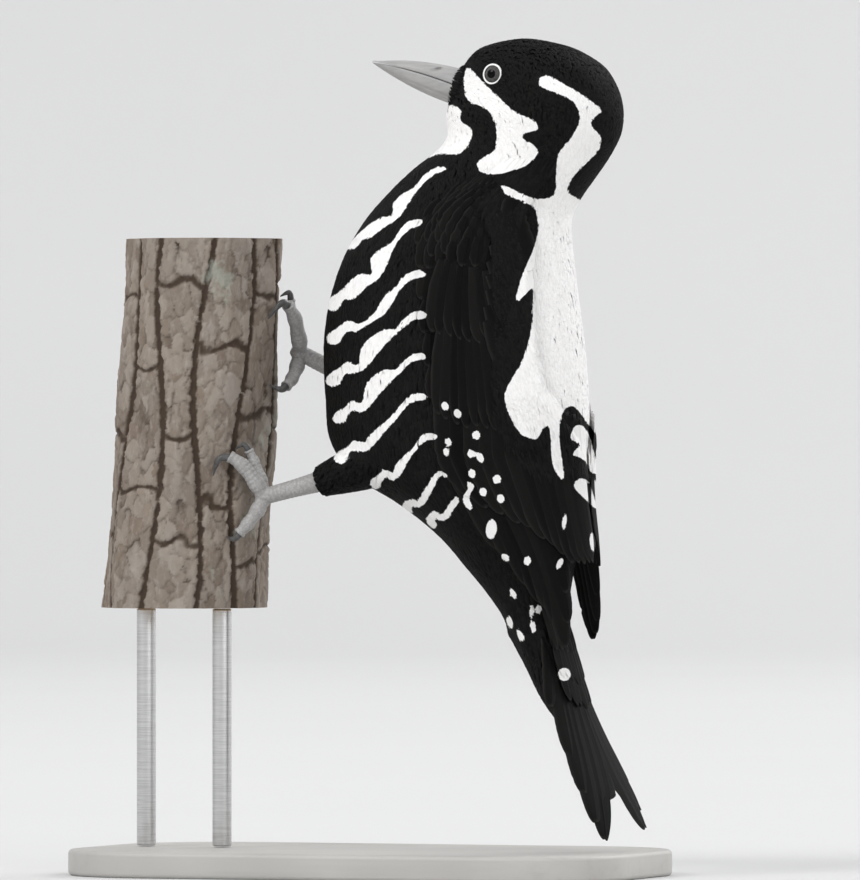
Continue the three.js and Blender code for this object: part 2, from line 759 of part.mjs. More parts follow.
// A curved, pointed claw that carries on from its toe's end.
function clawSolid(name, number) {
  const { toe, claw, radii } = FEET[name].toes[number];
  const [before, end] = [onBark(toe[1]), onBark(toe[2])];
  const onward = end.clone().sub(before).normalize();
  const root = end.clone().addScaledVector(onward, -0.8);
  const past = end.clone().addScaledVector(onward, GAP);
  const base = radii[2] * 0.86;
  const clear = tubeSolid([onBark(toe[0]), before, past], radii.map((r) => r + GAP), 7, 7);
  return largest(tubeSolid([root, ...claw.map(onBark)], [base, base * 0.72, 0.2], 7, 6).subtract(clear));
}

// ---------------------------------------------------------------- stand
function baseSolid() {
  const [halfLength, halfWidth] = [BASE.length / 2 - BASE.bevel, BASE.width / 2 - BASE.bevel];
  const outline = new THREE.Shape();
  const [r, x, y] = [BASE.corner, halfLength, halfWidth];
  outline.moveTo(-x + r, -y);
  outline.lineTo(x - r, -y);
  outline.absarc(x - r, -y + r, r, -Math.PI / 2, 0);
  outline.lineTo(x, y - r);
  outline.absarc(x - r, y - r, r, 0, Math.PI / 2);
  outline.lineTo(-x + r, y);
  outline.absarc(-x + r, y - r, r, Math.PI / 2, Math.PI);
  outline.lineTo(-x, -y + r);
  outline.absarc(-x + r, -y + r, r, Math.PI, 1.5 * Math.PI);
  const slab = new THREE.ExtrudeGeometry(outline, {
    depth: BASE.thick - 2 * BASE.bevel,
    bevelThickness: BASE.bevel,
    bevelSize: BASE.bevel,
    bevelSegments: 1,
    curveSegments: 6,
  });
  return solidOf(slab.translate(0, 0, BASE.bevel));
}

function rodSolid(place) {
  const [low, high] = [BASE.thick + GAP, PERCH.bottom - GAP];
  const rod = new THREE.CylinderGeometry(ROD.radius, ROD.radius, high - low, 16);
  rod.rotateX(Math.PI / 2);
  return solidOf(rod.translate(perchX(PERCH.bottom) + place * ROD.spread, 0, (low + high) / 2));
}

// ---------------------------------------------------------------- the finished part
const FINISHES = {
  plumage: { color: 0x0d0d0f, roughness: 0.75, metalness: 0 },
  bill: { color: 0xa9a9ab, roughness: 0.45, metalness: 0 },
  skin: { color: 0xadadaf, roughness: 0.6, metalness: 0 },
  claw: { color: 0x4b4b4d, roughness: 0.4, metalness: 0 },
  eye: { color: 0x2b2b2c, roughness: 0.05, metalness: 0 },
  bark: { color: 0x8a7f72, roughness: 0.9, metalness: 0 },
  stand: { color: 0xd9d7d2, roughness: 0.6, metalness: 0 },
  steel: { color: 0xb8babd, roughness: 0.3, metalness: 1 },
};
const materials = Object.fromEntries(
  Object.entries(FINISHES).map(([name, finish]) => [name, new THREE.MeshStandardMaterial(finish)]),
);

const woodpecker = new THREE.Group();

function place(name, solid, finish) {
  const mesh = new THREE.Mesh(geometryOf(solid), materials[finish]);
  mesh.name = name;
  woodpecker.add(mesh);
}

place("head", headSolid(), "plumage");
place("neck", neckSolid(), "plumage");
place("torso", torsoSolid(), "plumage");
place("tail", tailSolid(), "plumage");
place("bill_upper", billSolid(true), "bill");
place("bill_lower", billSolid(false), "bill");
for (const [name, side] of [["left", LEFT], ["right", RIGHT]]) {
  place(`eye_${name}`, eyeSolid(side, 0), "eye");
  place(`wing_${name}`, wingSolid(side), "plumage");
  place(`thigh_${name}`, thighSolid(name), "plumage");
  place(`foot_${name}`, footSolid(name), "skin");
  FEET[name].toes.forEach((_, i) => place(`claw_${name}_${i + 1}`, clawSolid(name, i), "claw"));
}
place("perch", perchSolid(), "bark");
place("stand_base", baseSolid(), "stand");
place("stand_rod_front", rodSolid(1), "steel");
place("stand_rod_back", rodSolid(-1), "steel");

export default woodpecker;
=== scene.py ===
"""The looks of a life-size three-toed woodpecker that clings to a short length of trunk on a stand.

Lengths are millimetres in the bird's own frame (+Z up, facing -X, left side at -Y) until piece_of() turns
them into metres. A place on the body or a wing is (height, angle from the middle of the back).
"""
import math

import bpy
import numpy as np
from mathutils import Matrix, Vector
from mathutils.bvhtree import BVHTree


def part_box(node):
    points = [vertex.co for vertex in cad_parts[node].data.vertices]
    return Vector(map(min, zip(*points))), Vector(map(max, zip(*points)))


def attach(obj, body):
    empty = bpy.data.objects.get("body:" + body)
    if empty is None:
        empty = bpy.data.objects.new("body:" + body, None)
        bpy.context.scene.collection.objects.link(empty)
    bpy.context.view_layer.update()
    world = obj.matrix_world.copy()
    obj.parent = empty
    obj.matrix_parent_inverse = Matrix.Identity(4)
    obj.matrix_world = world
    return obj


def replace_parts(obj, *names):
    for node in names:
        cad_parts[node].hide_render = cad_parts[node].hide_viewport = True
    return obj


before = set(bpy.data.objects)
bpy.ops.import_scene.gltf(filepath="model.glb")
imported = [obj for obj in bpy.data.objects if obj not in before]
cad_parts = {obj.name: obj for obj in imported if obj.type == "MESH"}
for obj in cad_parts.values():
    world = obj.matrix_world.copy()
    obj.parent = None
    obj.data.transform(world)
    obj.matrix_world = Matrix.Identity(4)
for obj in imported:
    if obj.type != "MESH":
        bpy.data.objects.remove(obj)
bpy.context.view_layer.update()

MM = 0.001
LEFT, RIGHT = -1, 1  # side of the bird, as the sign of y
SIDES = (("left", LEFT), ("right", RIGHT))

# ---------------- the picture's view
PICTURE = (860, 880)  # pixels
PIXEL = 0.27  # millimetres of the bird in one pixel
AZIMUTH = math.radians(20)  # the picture sees the left side, and a little of the back
ORIGIN_U = 370  # pixel column of the bird's own origin
TAIL_TIP = (838, 10.0)  # pixel row of the tail's tip, and its height
LENS = 500.0  # a long lens, because the picture is a flat drawing
SENSOR = 36.0
FARTHEST = 20.0  # metres that the camera sees
CENTRE_U = (PICTURE[0] / 2 - ORIGIN_U) * PIXEL
CENTRE_Z = TAIL_TIP[1] + (TAIL_TIP[0] - PICTURE[1] / 2) * PIXEL
DISTANCE = PICTURE[1] * PIXEL * LENS / SENSOR

CAMERA_RIGHT = np.array([math.cos(AZIMUTH), math.sin(AZIMUTH), 0.0])
CAMERA_AHEAD = np.array([-math.sin(AZIMUTH), math.cos(AZIMUTH), 0.0])


def picture_place(points, mirrored):
    """Pixel column and row of points on the bird, the mirrored ones as if they were on its left side."""
    near = points.copy()
    near[:, 1] = np.where(mirrored, -np.abs(points[:, 1]), points[:, 1])
    nearness = DISTANCE / (DISTANCE + near @ CAMERA_AHEAD)
    column = PICTURE[0] / 2 + (near @ CAMERA_RIGHT - CENTRE_U) * nearness / PIXEL
    row = PICTURE[1] / 2 - (near[:, 2] - CENTRE_Z) * nearness / PIXEL
    return np.stack([column, row], 1)


def add_camera():
    data = bpy.data.cameras.new("camera")
    data.lens = LENS
    data.sensor_width = SENSOR
    data.clip_end = FARTHEST
    camera = bpy.data.objects.new("camera", data)
    middle = CAMERA_RIGHT * CENTRE_U + np.array([0, 0, CENTRE_Z])
    camera.location = Vector((middle - CAMERA_AHEAD * DISTANCE) * MM)
    camera.rotation_euler = (math.pi / 2, 0, AZIMUTH)
    bpy.context.scene.collection.objects.link(camera)
    bpy.context.scene.camera = camera


add_camera()

# ---------------- numbers and curves
def lerp(a, b, share):
    return a + (b - a) * share


def smooth(low, high, value):
    """0 below low, 1 above high, and smooth between."""
    share = np.clip((value - low) / (high - low), 0, 1)
    return share * share * (3 - 2 * share)


def unit(vectors):
    return vectors / np.maximum(np.linalg.norm(vectors, axis=-1, keepdims=True), 1e-9)


def through(rows, place):
    """Catmull-Rom through the rows of a table, at places from 0 to the last row's number."""
    rows = np.asarray(rows, float)
    last = len(rows) - 1
    place = np.clip(np.asarray(place, float), 0, last)
    low = np.minimum(place.astype(int), last - 1)
    share = (place - low)[..., None]
    a, b, c, d = (rows[np.clip(low + step, 0, last)] for step in (-1, 0, 1, 2))
    bent = (2 * a - 5 * b + 4 * c - d) * share**2 + (3 * b - a - 3 * c + d) * share**3
    return (2 * b + (c - a) * share + bent) / 2


def evenly(rows, count):
    """Catmull-Rom through the rows of a table, at evenly spaced places from the first row to the last."""
    return through(rows, np.linspace(0, len(rows) - 1, count))


def at_height(table, height):
    """The other columns of a table whose first column is a height, interpolated at heights."""
    rows = np.array(sorted(table), float)
    return [np.interp(height, rows[:, 0], column) for column in rows[:, 1:].T]


def circle(sides):
    """Evenly spaced angles round a circle."""
    return np.arange(sides) / sides * 2 * math.pi


def near_line(points, line):
    """Distance of points from a line of points, the line's direction at the nearest place, and how far
    along the line that is."""
    line = np.asarray(line, float)
    nearest, way, run = np.full(len(points), 1e9), np.zeros((len(points), 3)), np.zeros(len(points))
    done = 0.0
    for start, end in zip(line[:-1], line[1:]):
        step, long = end - start, np.linalg.norm(end - start)
        share = np.clip((points - start) @ step / (step @ step), 0, 1)
        away = np.linalg.norm(points - start - share[:, None] * step, axis=1)
        closer = away < nearest
        way[closer] = step / long
        run[closer] = (done + share * long)[closer]
        nearest = np.minimum(nearest, away)
        done += long
    return nearest, way, run


WAVES = 7  # that make up a ripple


def ripple(points, size, seed):
    """Smooth noise from about -1 to 1: sine waves crossing at odd angles, about size across."""
    draw = np.random.RandomState(seed)
    total = np.zeros(len(points))
    for _ in range(WAVES):
        way = unit(draw.normal(size=3))
        total += np.sin(points @ way * (2 * math.pi / size) * draw.uniform(0.6, 1.5) + draw.uniform(0, 6.3))
    return total / 4


# ---------------- the body's surface
# The feathered body from the crown down to the root of the tail. Each row is one level section:
# height, foremost x, rearmost x, half-width, and how much it narrows towards the front.
BODY = np.array([
    [225.3, 42.5, 46.5, 2.4, 0.0],
    [224.4, 37.0, 51.6, 5.6, 0.05],
    [222.8, 31.8, 57.6, 8.8, 0.12],
    [220.4, 28.9, 62.4, 11.6, 0.2],
    [217.4, 26.8, 66.5, 13.8, 0.28],
    [213.3, 24.9, 69.2, 15.3, 0.31],
    [209.0, 23.2, 70.9, 16.1, 0.29],
    [204.4, 22.2, 71.6, 16.3, 0.22],
    [199.8, 22.9, 71.2, 16.0, 0.12],
    [195.8, 20.3, 69.5, 15.7, 0.04],
    [191.7, 14.8, 66.9, 15.9, 0.0],
    [187.1, 9.3, 63.3, 16.6, 0.0],
    [182.3, 4.5, 59.6, 17.6, 0.0],
    [177.9, 0.5, 57.2, 18.8, 0.0],
    [171.5, -3.9, 56.9, 20.6, 0.0],
    [163.4, -7.9, 57.8, 22.2, 0.0],
    [152.6, -11.0, 59.1, 23.6, 0.0],
    [141.8, -12.2, 60.6, 24.3, 0.0],
    [128.3, -11.6, 61.6, 24.5, 0.0],
    [117.5, -10.4, 61.6, 24.0, 0.0],
    [108.0, -3.4, 60.9, 22.6, 0.0],
    [99.9, 10.0, 60.2, 20.0, 0.0],
    [91.8, 20.6, 59.2, 17.0, 0.0],
    [83.7, 28.0, 57.8, 14.2, 0.0],
    [75.6, 35.0, 56.4, 11.8, 0.0],
    [67.5, 40.6, 55.6, 10.0, 0.0],
    [58.0, 45.0, 57.0, 9.0, 0.0],
])
# Below the first of these the folded wings leave the rump and hang straight down behind it.
MANTLE = np.array([
    [112.0, -8.0, 61.2, 23.4, 0.0],
    [100.0, 8.0, 61.7, 21.6, 0.0],
    [90.0, 19.0, 62.8, 19.5, 0.0],
    [80.0, 27.5, 63.6, 17.4, 0.0],
    [70.0, 33.5, 64.2, 15.4, 0.0],
    [60.0, 37.0, 64.4, 13.6, 0.0],
])
MANTLE_GAP = 4  # in height, between the body's last section and the mantle's first
WING_BED = np.concatenate([BODY[BODY[:, 0] > MANTLE[0, 0] + MANTLE_GAP], MANTLE])
LOFT_STEPS = 1500  # in which a loft finds the place of a height


class Loft:
    """A surface through level sections, each an oval about a point on the plane of symmetry."""

    def __init__(self, rows):
        self.rows = rows
        self.places = np.linspace(0, len(rows) - 1, LOFT_STEPS)
        self.heights = through(rows, self.places)[:, 0]

    def section(self, height):
        place = np.interp(-np.asarray(height, float), -self.heights, self.places)
        return np.moveaxis(through(self.rows, place), -1, 0)

    def point(self, height, angle, lift, side=LEFT):
        return self.on_section(self.section(height), angle, lift, side)

    @staticmethod
    def on_section(section, angle, lift, side):
        height, front, back, width, narrowed = section
        turn = np.radians(angle)
        x = (front + back) / 2 + ((back - front) / 2 + lift) * np.cos(turn)
        y = side * (width + lift) * np.sin(turn) * (1 + narrowed * np.cos(turn))
        return np.stack(np.broadcast_arrays(x, y, height), -1)


body = Loft(BODY)
wing_bed = Loft(WING_BED)


# ---------------- meshes
def piece_of(name, places, faces, material, smooth_faces=True):
    """A named piece from points in millimetres, and faces in one array for each number of corners."""
    mesh = bpy.data.meshes.new(name)
    places = np.asarray(places, np.float32)
    groups = faces if isinstance(faces, (list, tuple)) else [faces]
    groups = [np.asarray(g, np.int32) for g in groups if len(g)]
    corners = np.concatenate([g.ravel() for g in groups])
    sizes = np.concatenate([np.full(len(g), g.shape[1]) for g in groups])
    mesh.vertices.add(len(places))
    mesh.vertices.foreach_set("co", (places * MM).ravel())
    mesh.loops.add(len(corners))
    mesh.loops.foreach_set("vertex_index", corners)
    mesh.polygons.add(len(sizes))
    mesh.polygons.foreach_set("loop_start", np.concatenate([[0], np.cumsum(sizes)[:-1]]).astype(np.int32))
    mesh.polygons.foreach_set("use_smooth", np.full(len(sizes), smooth_faces))
    mesh.update(calc_edges=True)
    mesh.validate()
    mesh.materials.append(material)
    thing = bpy.data.objects.new(name, mesh)
    bpy.context.scene.collection.objects.link(thing)
    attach(thing, "root")
    return thing


def set_values(thing, **values):
    """Stores one number for each point of the mesh under each name, for the materials to read."""
    for name, numbers in values.items():
        layer = thing.data.attributes.new(name, "FLOAT", "POINT")
        layer.data.foreach_set("value", np.asarray(numbers, np.float32))


def set_unwrap(thing, places):
    """Stores the OFBake unwrap from a place in the unit square for each point of the mesh."""
    layer = thing.data.uv_layers.new(name="OFBake")
    corners = np.empty(len(thing.data.loops), np.int32)
    thing.data.loops.foreach_get("vertex_index", corners)
    layer.data.foreach_set("uv", np.asarray(places, np.float32)[corners].ravel())


def ring_faces(rings, sides):
    """The quads between rings of points, each ring closed on itself."""
    ring, side = np.meshgrid(np.arange(rings - 1), np.arange(sides), indexing="ij")
    a, b = ring * sides + side, ring * sides + (side + 1) % sides
    return np.stack([a, b, b + sides, a + sides], -1).reshape(-1, 4)


def capped(rings):
    """Points and faces of a solid from rings of points, with a fan over each end."""
    count, sides = rings.shape[:2]
    places = np.concatenate([rings.reshape(-1, 3), rings[0].mean(0)[None], rings[-1].mean(0)[None]])
    side = np.arange(sides)
    after = (side + 1) % sides
    first = np.stack([np.full(sides, count * sides), after, side], 1)
    base = (count - 1) * sides
    last = np.stack([np.full(sides, count * sides + 1), base + side, base + after], 1)
    return places, [ring_faces(count, sides), np.concatenate([first, last])]


ODD_WAY = (0.3, 0.9, 0.25)  # a direction that no tube starts in


def tube(points, radii, sides, steps, flatten=1.0, bumps=None):
    """Rings of points round a smooth line through points. bumps(share along, turn) adds to the radius."""
    points = np.asarray(points, float)
    shares = np.linspace(0, 1, steps + 1)
    middle = through(points, shares * (len(points) - 1))
    radius = through(np.asarray(radii, float)[:, None], shares * (len(radii) - 1))[:, 0]
    ahead = unit(np.gradient(middle, axis=0))
    across = np.zeros_like(middle)
    across[0] = unit(np.cross(ahead[0], ODD_WAY))
    for i in range(1, len(middle)):
        across[i] = unit(across[i - 1] - ahead[i] * (across[i - 1] @ ahead[i]))
    upward = np.cross(ahead, across)
    turn = circle(sides)
    grown = radius[:, None] * np.ones(sides)
    if bumps is not None:
        grown = grown + bumps(shares[:, None], turn[None, :])
    return (
        middle[:, None]
        + across[:, None] * (grown * np.cos(turn))[..., None] * flatten
        + upward[:, None] * (grown * np.sin(turn))[..., None]
    )


def fused(solids, voxel, rounds):
    """Points, faces and normals of closed solids fused into one smooth skin."""
    mesh = bpy.data.meshes.new("fusing")
    start, places, faces = 0, [], []
    for solid_places, groups in solids:
        places.append(solid_places)
        faces += [[int(i) + start for i in face] for group in groups for face in group]
        start += len(solid_places)
    mesh.from_pydata((np.concatenate(places) * MM).tolist(), [], faces)
    thing = bpy.data.objects.new("fusing", mesh)
    bpy.context.scene.collection.objects.link(thing)
    remesh = thing.modifiers.new("remesh", "REMESH")
    remesh.mode = "VOXEL"
    remesh.voxel_size = voxel * MM
    soften = thing.modifiers.new("soften", "SMOOTH")
    soften.factor = 0.5
    soften.iterations = rounds
    view = bpy.context.evaluated_depsgraph_get()
    done = thing.evaluated_get(view).to_mesh()
    count = len(done.vertices)
    result = np.empty(count * 3, np.float32)
    done.vertices.foreach_get("co", result)
    normals = np.empty(count * 3, np.float32)
    done.vertices.foreach_get("normal", normals)
    quads = np.array([list(p.vertices) for p in done.polygons if len(p.vertices) == 4], np.int32)
    thing.evaluated_get(view).to_mesh_clear()
    bpy.data.objects.remove(thing)
    bpy.data.meshes.remove(mesh)
    return result.reshape(-1, 3) / MM, quads, normals.reshape(-1, 3)


def turned(radii, heights, sides, x=0.0):
    """Rings of points of a solid of revolution about an upright axis at x."""
    turn = circle(sides)
    radii, heights = radii[:, None], heights[:, None]
    return np.stack(np.broadcast_arrays(x + radii * np.cos(turn), radii * np.sin(turn), heights), -1)


def outward(places, faces):
    """The faces of a closed mesh, turned so that they face out of it."""
    volume = 0.0
    for group in faces:
        for i in range(1, group.shape[1] - 1):
            a, b, c = (places[group[:, k]] for k in (0, i, i + 1))
            volume += (a * np.cross(b, c)).sum()
    return [group[:, ::-1] for group in faces] if volume < 0 else faces


def closed_piece(name, rings, material):
    """A named piece from rings of points, closed at both ends."""
    places, faces = capped(rings)
    return piece_of(name, places, outward(places, faces), material)


def joined(solids):
    """The points of several solids, and their faces in one array for each number of corners."""
    start, places, threes, fours = 0, [], [], []
    for solid_places, groups in solids:
        places.append(solid_places)
        for group in groups:
            (threes if group.shape[1] == 3 else fours).append(group + start)
        start += len(solid_places)
    return np.concatenate(places), [np.concatenate(g) for g in (threes, fours) if g]


# ---------------- white markings
# Outlines are columns and rows of the picture, in pixels, on the side that it shows. The other side
# of the bird is the mirror image.
CHEEK = [
    (468, 67.5), (478.5, 77.6), (493, 92.1), (505, 103.6), (513.6, 110.9), (521, 114.9), (529.4, 118.2),
    (535.4, 122.4), (537.8, 127.2), (536.4, 130), (531.8, 131.8), (525.7, 133.1), (522.3, 136.3),
    (525, 140.3), (534.2, 145.2), (537.8, 149.7), (536.6, 155), (530.6, 162.4), (521, 167.8), (507.6, 172.1),
    (495.4, 174.1), (485.7, 173.7), (479.7, 171), (476.9, 165.4), (478.5, 161.3), (485.7, 156.3), (493, 152),
    (496, 146.6), (497, 136.9), (496, 127.2), (493, 117.6), (488.2, 110.3), (482, 106.6), (472.4, 103),
    (467.6, 99.4), (465, 94.5), (463.9, 84.8), (464.5, 75),
]
THROAT = [
    (449.4, 105), (454.8, 106), (459.1, 108.5), (461.1, 112.1), (460.1, 117.6), (461.8, 122), (468.8, 126.6),
    (471.4, 130.3), (471.8, 135.7), (469.4, 143), (464.5, 149.7), (457.9, 153.9), (443.3, 153.9),
    (434.8, 155.1), (427, 158.5), (414, 164), (404, 158), (424, 140), (436, 124), (440, 106),
]
NAPE = [
    (544.5, 76), (552.4, 77.8), (563.3, 83.6), (577.8, 92.1), (591.2, 101.2), (601.4, 110.6), (596, 115.7),
    (591.4, 121.2), (591.2, 124.8), (594.8, 130.3), (600.3, 136.3), (601.1, 141.8), (597.8, 150.3),
    (589.9, 160), (580.3, 169), (571.8, 178.7), (568.1, 187.8), (567.9, 195.7), (571, 199.5), (577.2, 203.6),
    (566, 214), (548, 205), (555, 192.5), (556.3, 177.2), (556.3, 167.2), (557.8, 156.3), (561, 150.3),
    (570.6, 138.2), (577.8, 126), (579.9, 116.3), (577.8, 107.9), (571.8, 100.6), (562, 95.1), (550, 90.7),
    (540.3, 86), (539.4, 79),
]
BACK_PANEL = [
    (500.8, 184.3), (511.3, 188.7), (522.8, 194.4), (534.3, 198.3), (543.9, 199), (552, 196.6), (560, 190),
    (580, 200), (600, 212), (610, 260), (618, 330), (622, 400), (604, 438), (589.8, 425.7), (581.5, 414.9),
    (575.7, 408), (570.7, 406.1), (565.7, 408.6), (561.6, 415.8), (559.4, 428.2), (559.9, 444.8),
    (562.4, 463), (564, 476.3), (562, 479.2), (558.3, 475.4), (554.1, 468.8), (551.6, 456.4), (551.3, 441.5),
    (550, 429.8), (547, 425.7), (543.3, 428.2), (539.2, 435.7), (535, 439.3), (525.9, 436.8), (517.6, 429.8),
    (509.3, 414.9), (505, 400), (505.6, 391.5), (511.3, 380), (522.8, 359), (529.5, 337.9), (532.4, 318.8),
    (533.1, 297.8), (532.9, 289), (529.5, 290), (522.8, 296.8), (517.6, 300.9), (516.5, 297.8),
    (519, 284.4), (524.7, 269.1), (532.4, 251.8), (537.2, 236.5), (538.5, 223.1), (535.2, 209.7),
    (528.5, 204), (517.1, 199.2), (505, 193.6), (501, 187.5),
]
WING_SPOT_HIGH = [
    (579, 424.9), (584.8, 427.9), (589.3, 436.5), (593.1, 449.7), (596.5, 461), (598, 472), (593.1, 473.3),
    (589.3, 469.6), (584.8, 460.5), (574, 455.5), (572.7, 453.1), (579.8, 445.6), (578.2, 442.8),
    (571.5, 439.8), (570.7, 434.8), (574, 427.4),
]
WING_SPOT_LOW = [
    (583.1, 478.8), (588.9, 482.1), (592.2, 491.2), (596.6, 508.6), (585.6, 499.5), (575.7, 489.5),
    (574, 485.4), (576.5, 480.4),
]
# Bars across the side, from the upper right end along the upper edge and back along the lower one.
BAR_OUTLINES = [
    [(446.2, 168), (437.7, 167.1), (425.1, 174.4), (413.6, 187.7), (401, 195.1), (393, 204.3), (393, 213.4),
     (388.4, 216.9), (381.5, 217.3), (368.9, 224.9), (356.2, 235.9), (347.5, 247.9), (349.3, 249),
     (355.1, 248.3), (360.1, 243.3), (363.1, 239.4), (371.2, 237.5), (380.3, 229.5), (391.8, 222.6),
     (401, 214.6), (410.2, 200.8), (419.4, 188.2), (430.8, 176.7), (444.6, 170.3)],
    [(422.3, 220.3), (417, 219.2), (407.9, 222.2), (401, 228.4), (393, 241), (384.9, 246.7), (373.4, 254.8),
     (370.2, 260.5), (372.3, 272), (368.9, 274.7), (359.7, 274.3), (351.6, 280), (341.3, 290.3),
     (332.1, 296.8), (327.5, 300.7), (327.1, 306.4), (329.8, 310.5), (336.7, 310.3), (340.9, 305.2),
     (343.6, 299.5), (353.9, 298.4), (366.6, 286.9), (379.2, 277.7), (386.1, 266.2), (393, 250.2),
     (401, 237.5), (410.2, 229), (420.5, 224.9)],
    [(425.8, 273.6), (419.3, 270.1), (412.5, 271.3), (404.4, 275.9), (394.1, 288), (384.9, 296.1),
     (380.3, 304.1), (375.7, 311), (366.6, 320.2), (357.4, 323.6), (349.3, 320.9), (344.8, 321.8),
     (337.9, 327.7), (329.8, 332.8), (326.9, 337.4), (327.5, 342), (332.1, 344.3), (339, 343.1),
     (343.6, 335.1), (348.2, 331), (356.2, 331.7), (364.3, 327.1), (373.4, 321.3), (383.8, 314.4),
     (391.8, 304.1), (399.8, 290.3), (410.2, 280.5), (423.9, 276.6)],
    [(426.5, 314.4), (421.6, 311), (413.6, 312.1), (404.4, 318.6), (395.2, 328.7), (383.8, 330),
     (371.2, 337.4), (360.8, 348.9), (359.2, 362.6), (356.2, 364.9), (347, 362.2), (340.2, 367.2),
     (329.8, 374.1), (325.9, 379.9), (327.5, 384.4), (333.3, 386.3), (340.2, 383.3), (344.8, 374.1),
     (355.1, 373), (366.6, 367.2), (379.2, 351.2), (391.8, 337.8), (405.6, 325.9), (412.5, 320.2),
     (423.9, 318.6)],
    [(425.5, 356.2), (421.6, 353), (412.5, 354.6), (404.4, 360.3), (395.2, 369.5), (384.9, 370),
     (373.4, 376.4), (365.4, 386.7), (362.7, 400.5), (359.7, 403.3), (351.6, 401), (344.8, 407.4),
     (335.6, 412.7), (332.8, 418.9), (335.6, 422.8), (343.6, 422.3), (348.2, 415.4), (351.6, 410.8),
     (362, 412), (370, 406.2), (381.5, 391.3), (391.8, 381), (403.3, 369.5), (412.5, 361.5), (423.9, 359.6)],
    [(426.9, 396.6), (421.6, 393.2), (412.5, 394.8), (405.6, 399.3), (391.8, 415.4), (378, 428),
     (368.9, 436.1), (365.4, 443), (353.9, 440.7), (347, 447.5), (337.9, 452.1), (334.2, 457.9),
     (336.7, 462.5), (343.6, 463.2), (348.2, 457.9), (351.6, 451), (364.3, 451.5), (373.4, 445.2),
     (384.9, 431.5), (396.4, 418.9), (410.2, 402.8), (425.1, 399.8)],
    [(437.7, 436.8), (435.4, 434.2), (426.2, 433.3), (420.5, 437.2), (412.5, 448.7), (396.4, 463.6),
     (393, 472.8), (383.8, 469.8), (378, 475.6), (371.2, 479.2), (370, 484.3), (374.6, 488.9),
     (379.2, 487.7), (382.6, 480.8), (386.1, 477.4), (393, 480.4), (401, 474), (410.2, 457.9),
     (423.9, 441.8), (437.3, 439.1)],
]
# The lowest bars, thin and crooked: column, row and half-thickness at points along the middle.
BARS = [
    [(446.8, 476.2, 1.2), (439.7, 473.8, 2.6), (435.4, 478, 3), (429.7, 487.9, 3.4), (423.1, 499, 4),
     (418.6, 504.2, 3), (411, 503.2, 4), (406.6, 507.4, 4.6), (408.6, 511.5, 3.6)],
    [(456.3, 500.3, 3.3), (451.3, 507, 3.2), (445.6, 516, 3.5), (439, 517.4, 2.8), (434.6, 514.4, 3.2),
     (430.8, 519.6, 4.2), (433.8, 525.6, 2.8)],
    [(466.6, 483, 1.3), (471, 486.2, 2.9), (469.5, 490.6, 2.2), (466, 497.6, 3), (467.8, 504, 3.2),
     (471.4, 509, 1.6)],
]
# Spots: column, row, half-width, half-height, lean in degrees (the top towards the left).
SPOTS = [
    (445, 406.1, 3.5, 4.5, 25), (457.6, 413.6, 3.6, 4.7, 25), (476.2, 435.2, 4.1, 4.6, 15),
    (448.3, 442, 3.1, 4.5, 28), (446.3, 452.2, 3, 4.6, 28), (470.9, 453.6, 3.6, 4.7, 25),
    (480, 457.5, 3.5, 5.4, 30), (471.9, 473.6, 3.7, 4.6, 22), (496.9, 479.3, 4.3, 4.6, 10),
    (483.1, 492, 3.7, 4.5, 22), (500.7, 498.7, 3.7, 4.7, 24), (491.3, 529.2, 5.4, 9.9, -5),
    (505.4, 557.5, 3.1, 4.6, 50), (527.4, 560.8, 3.6, 4.8, 0), (559.7, 563.5, 2.7, 6, -28),
    (564.4, 521.9, 2.2, 8, -8), (513.2, 593.8, 2.9, 5.8, 28),
    (531.5, 611.4, 2.4, 5.7, 0), (538.6, 609.8, 3.2, 4.6, 0), (532.9, 627.2, 2.8, 5.6, 14),
    (509.7, 622.2, 2.9, 5.9, 16), (520.3, 635.5, 2.9, 5.8, 24), (564.3, 674.4, 6.4, 6.4, 0),
]
FAR_WING_SPOT = (592.6, 541.9, 2.8, 9, 4)
FAR = 10.0  # pixels outside a marking beyond which its distance doesn't matter
CHUNK = 20000  # points measured at once
PATCH_STEPS, BAR_STEPS = 4, 14  # into which a stretch of a marking's line is divided


class Patch:
    """A marking with a smooth closed outline."""

    def __init__(self, corners):
        corners = np.array(corners, float)
        wrapped = np.concatenate([corners[-1:], corners, corners[:2]])
        self.line = through(wrapped, 1 + np.arange(len(corners) * PATCH_STEPS) / PATCH_STEPS)
        self.low, self.high = self.line.min(0), self.line.max(0)

    def depth(self, places):
        start, end = self.line, np.roll(self.line, -1, 0)
        run = end - start
        offset = places[:, None] - start
        share = np.clip((offset * run).sum(-1) / (run**2).sum(-1), 0, 1)
        away = np.linalg.norm(offset - share[..., None] * run, axis=-1).min(1)
        row = places[:, None, 1]
        spans = (start[:, 1] > row) != (end[:, 1] > row)
        rise = np.where(run[:, 1] == 0, 1e-9, run[:, 1])
        crossed = start[:, 0] + (row - start[:, 1]) * run[:, 0] / rise > places[:, None, 0]
        inside = (spans & crossed).sum(1) % 2 == 1
        return np.where(inside, away, -away)


class Bar:
    """A marking of smoothly changing thickness along a smooth line."""

    def __init__(self, points):
        line = evenly(points, (len(points) - 1) * BAR_STEPS + 1)
        self.line, self.half = line[:, :2], line[:, 2]
        self.low = (self.line - self.half[:, None]).min(0)
        self.high = (self.line + self.half[:, None]).max(0)

    def depth(self, places):
        return (self.half - np.linalg.norm(places[:, None] - self.line, axis=-1)).max(1)


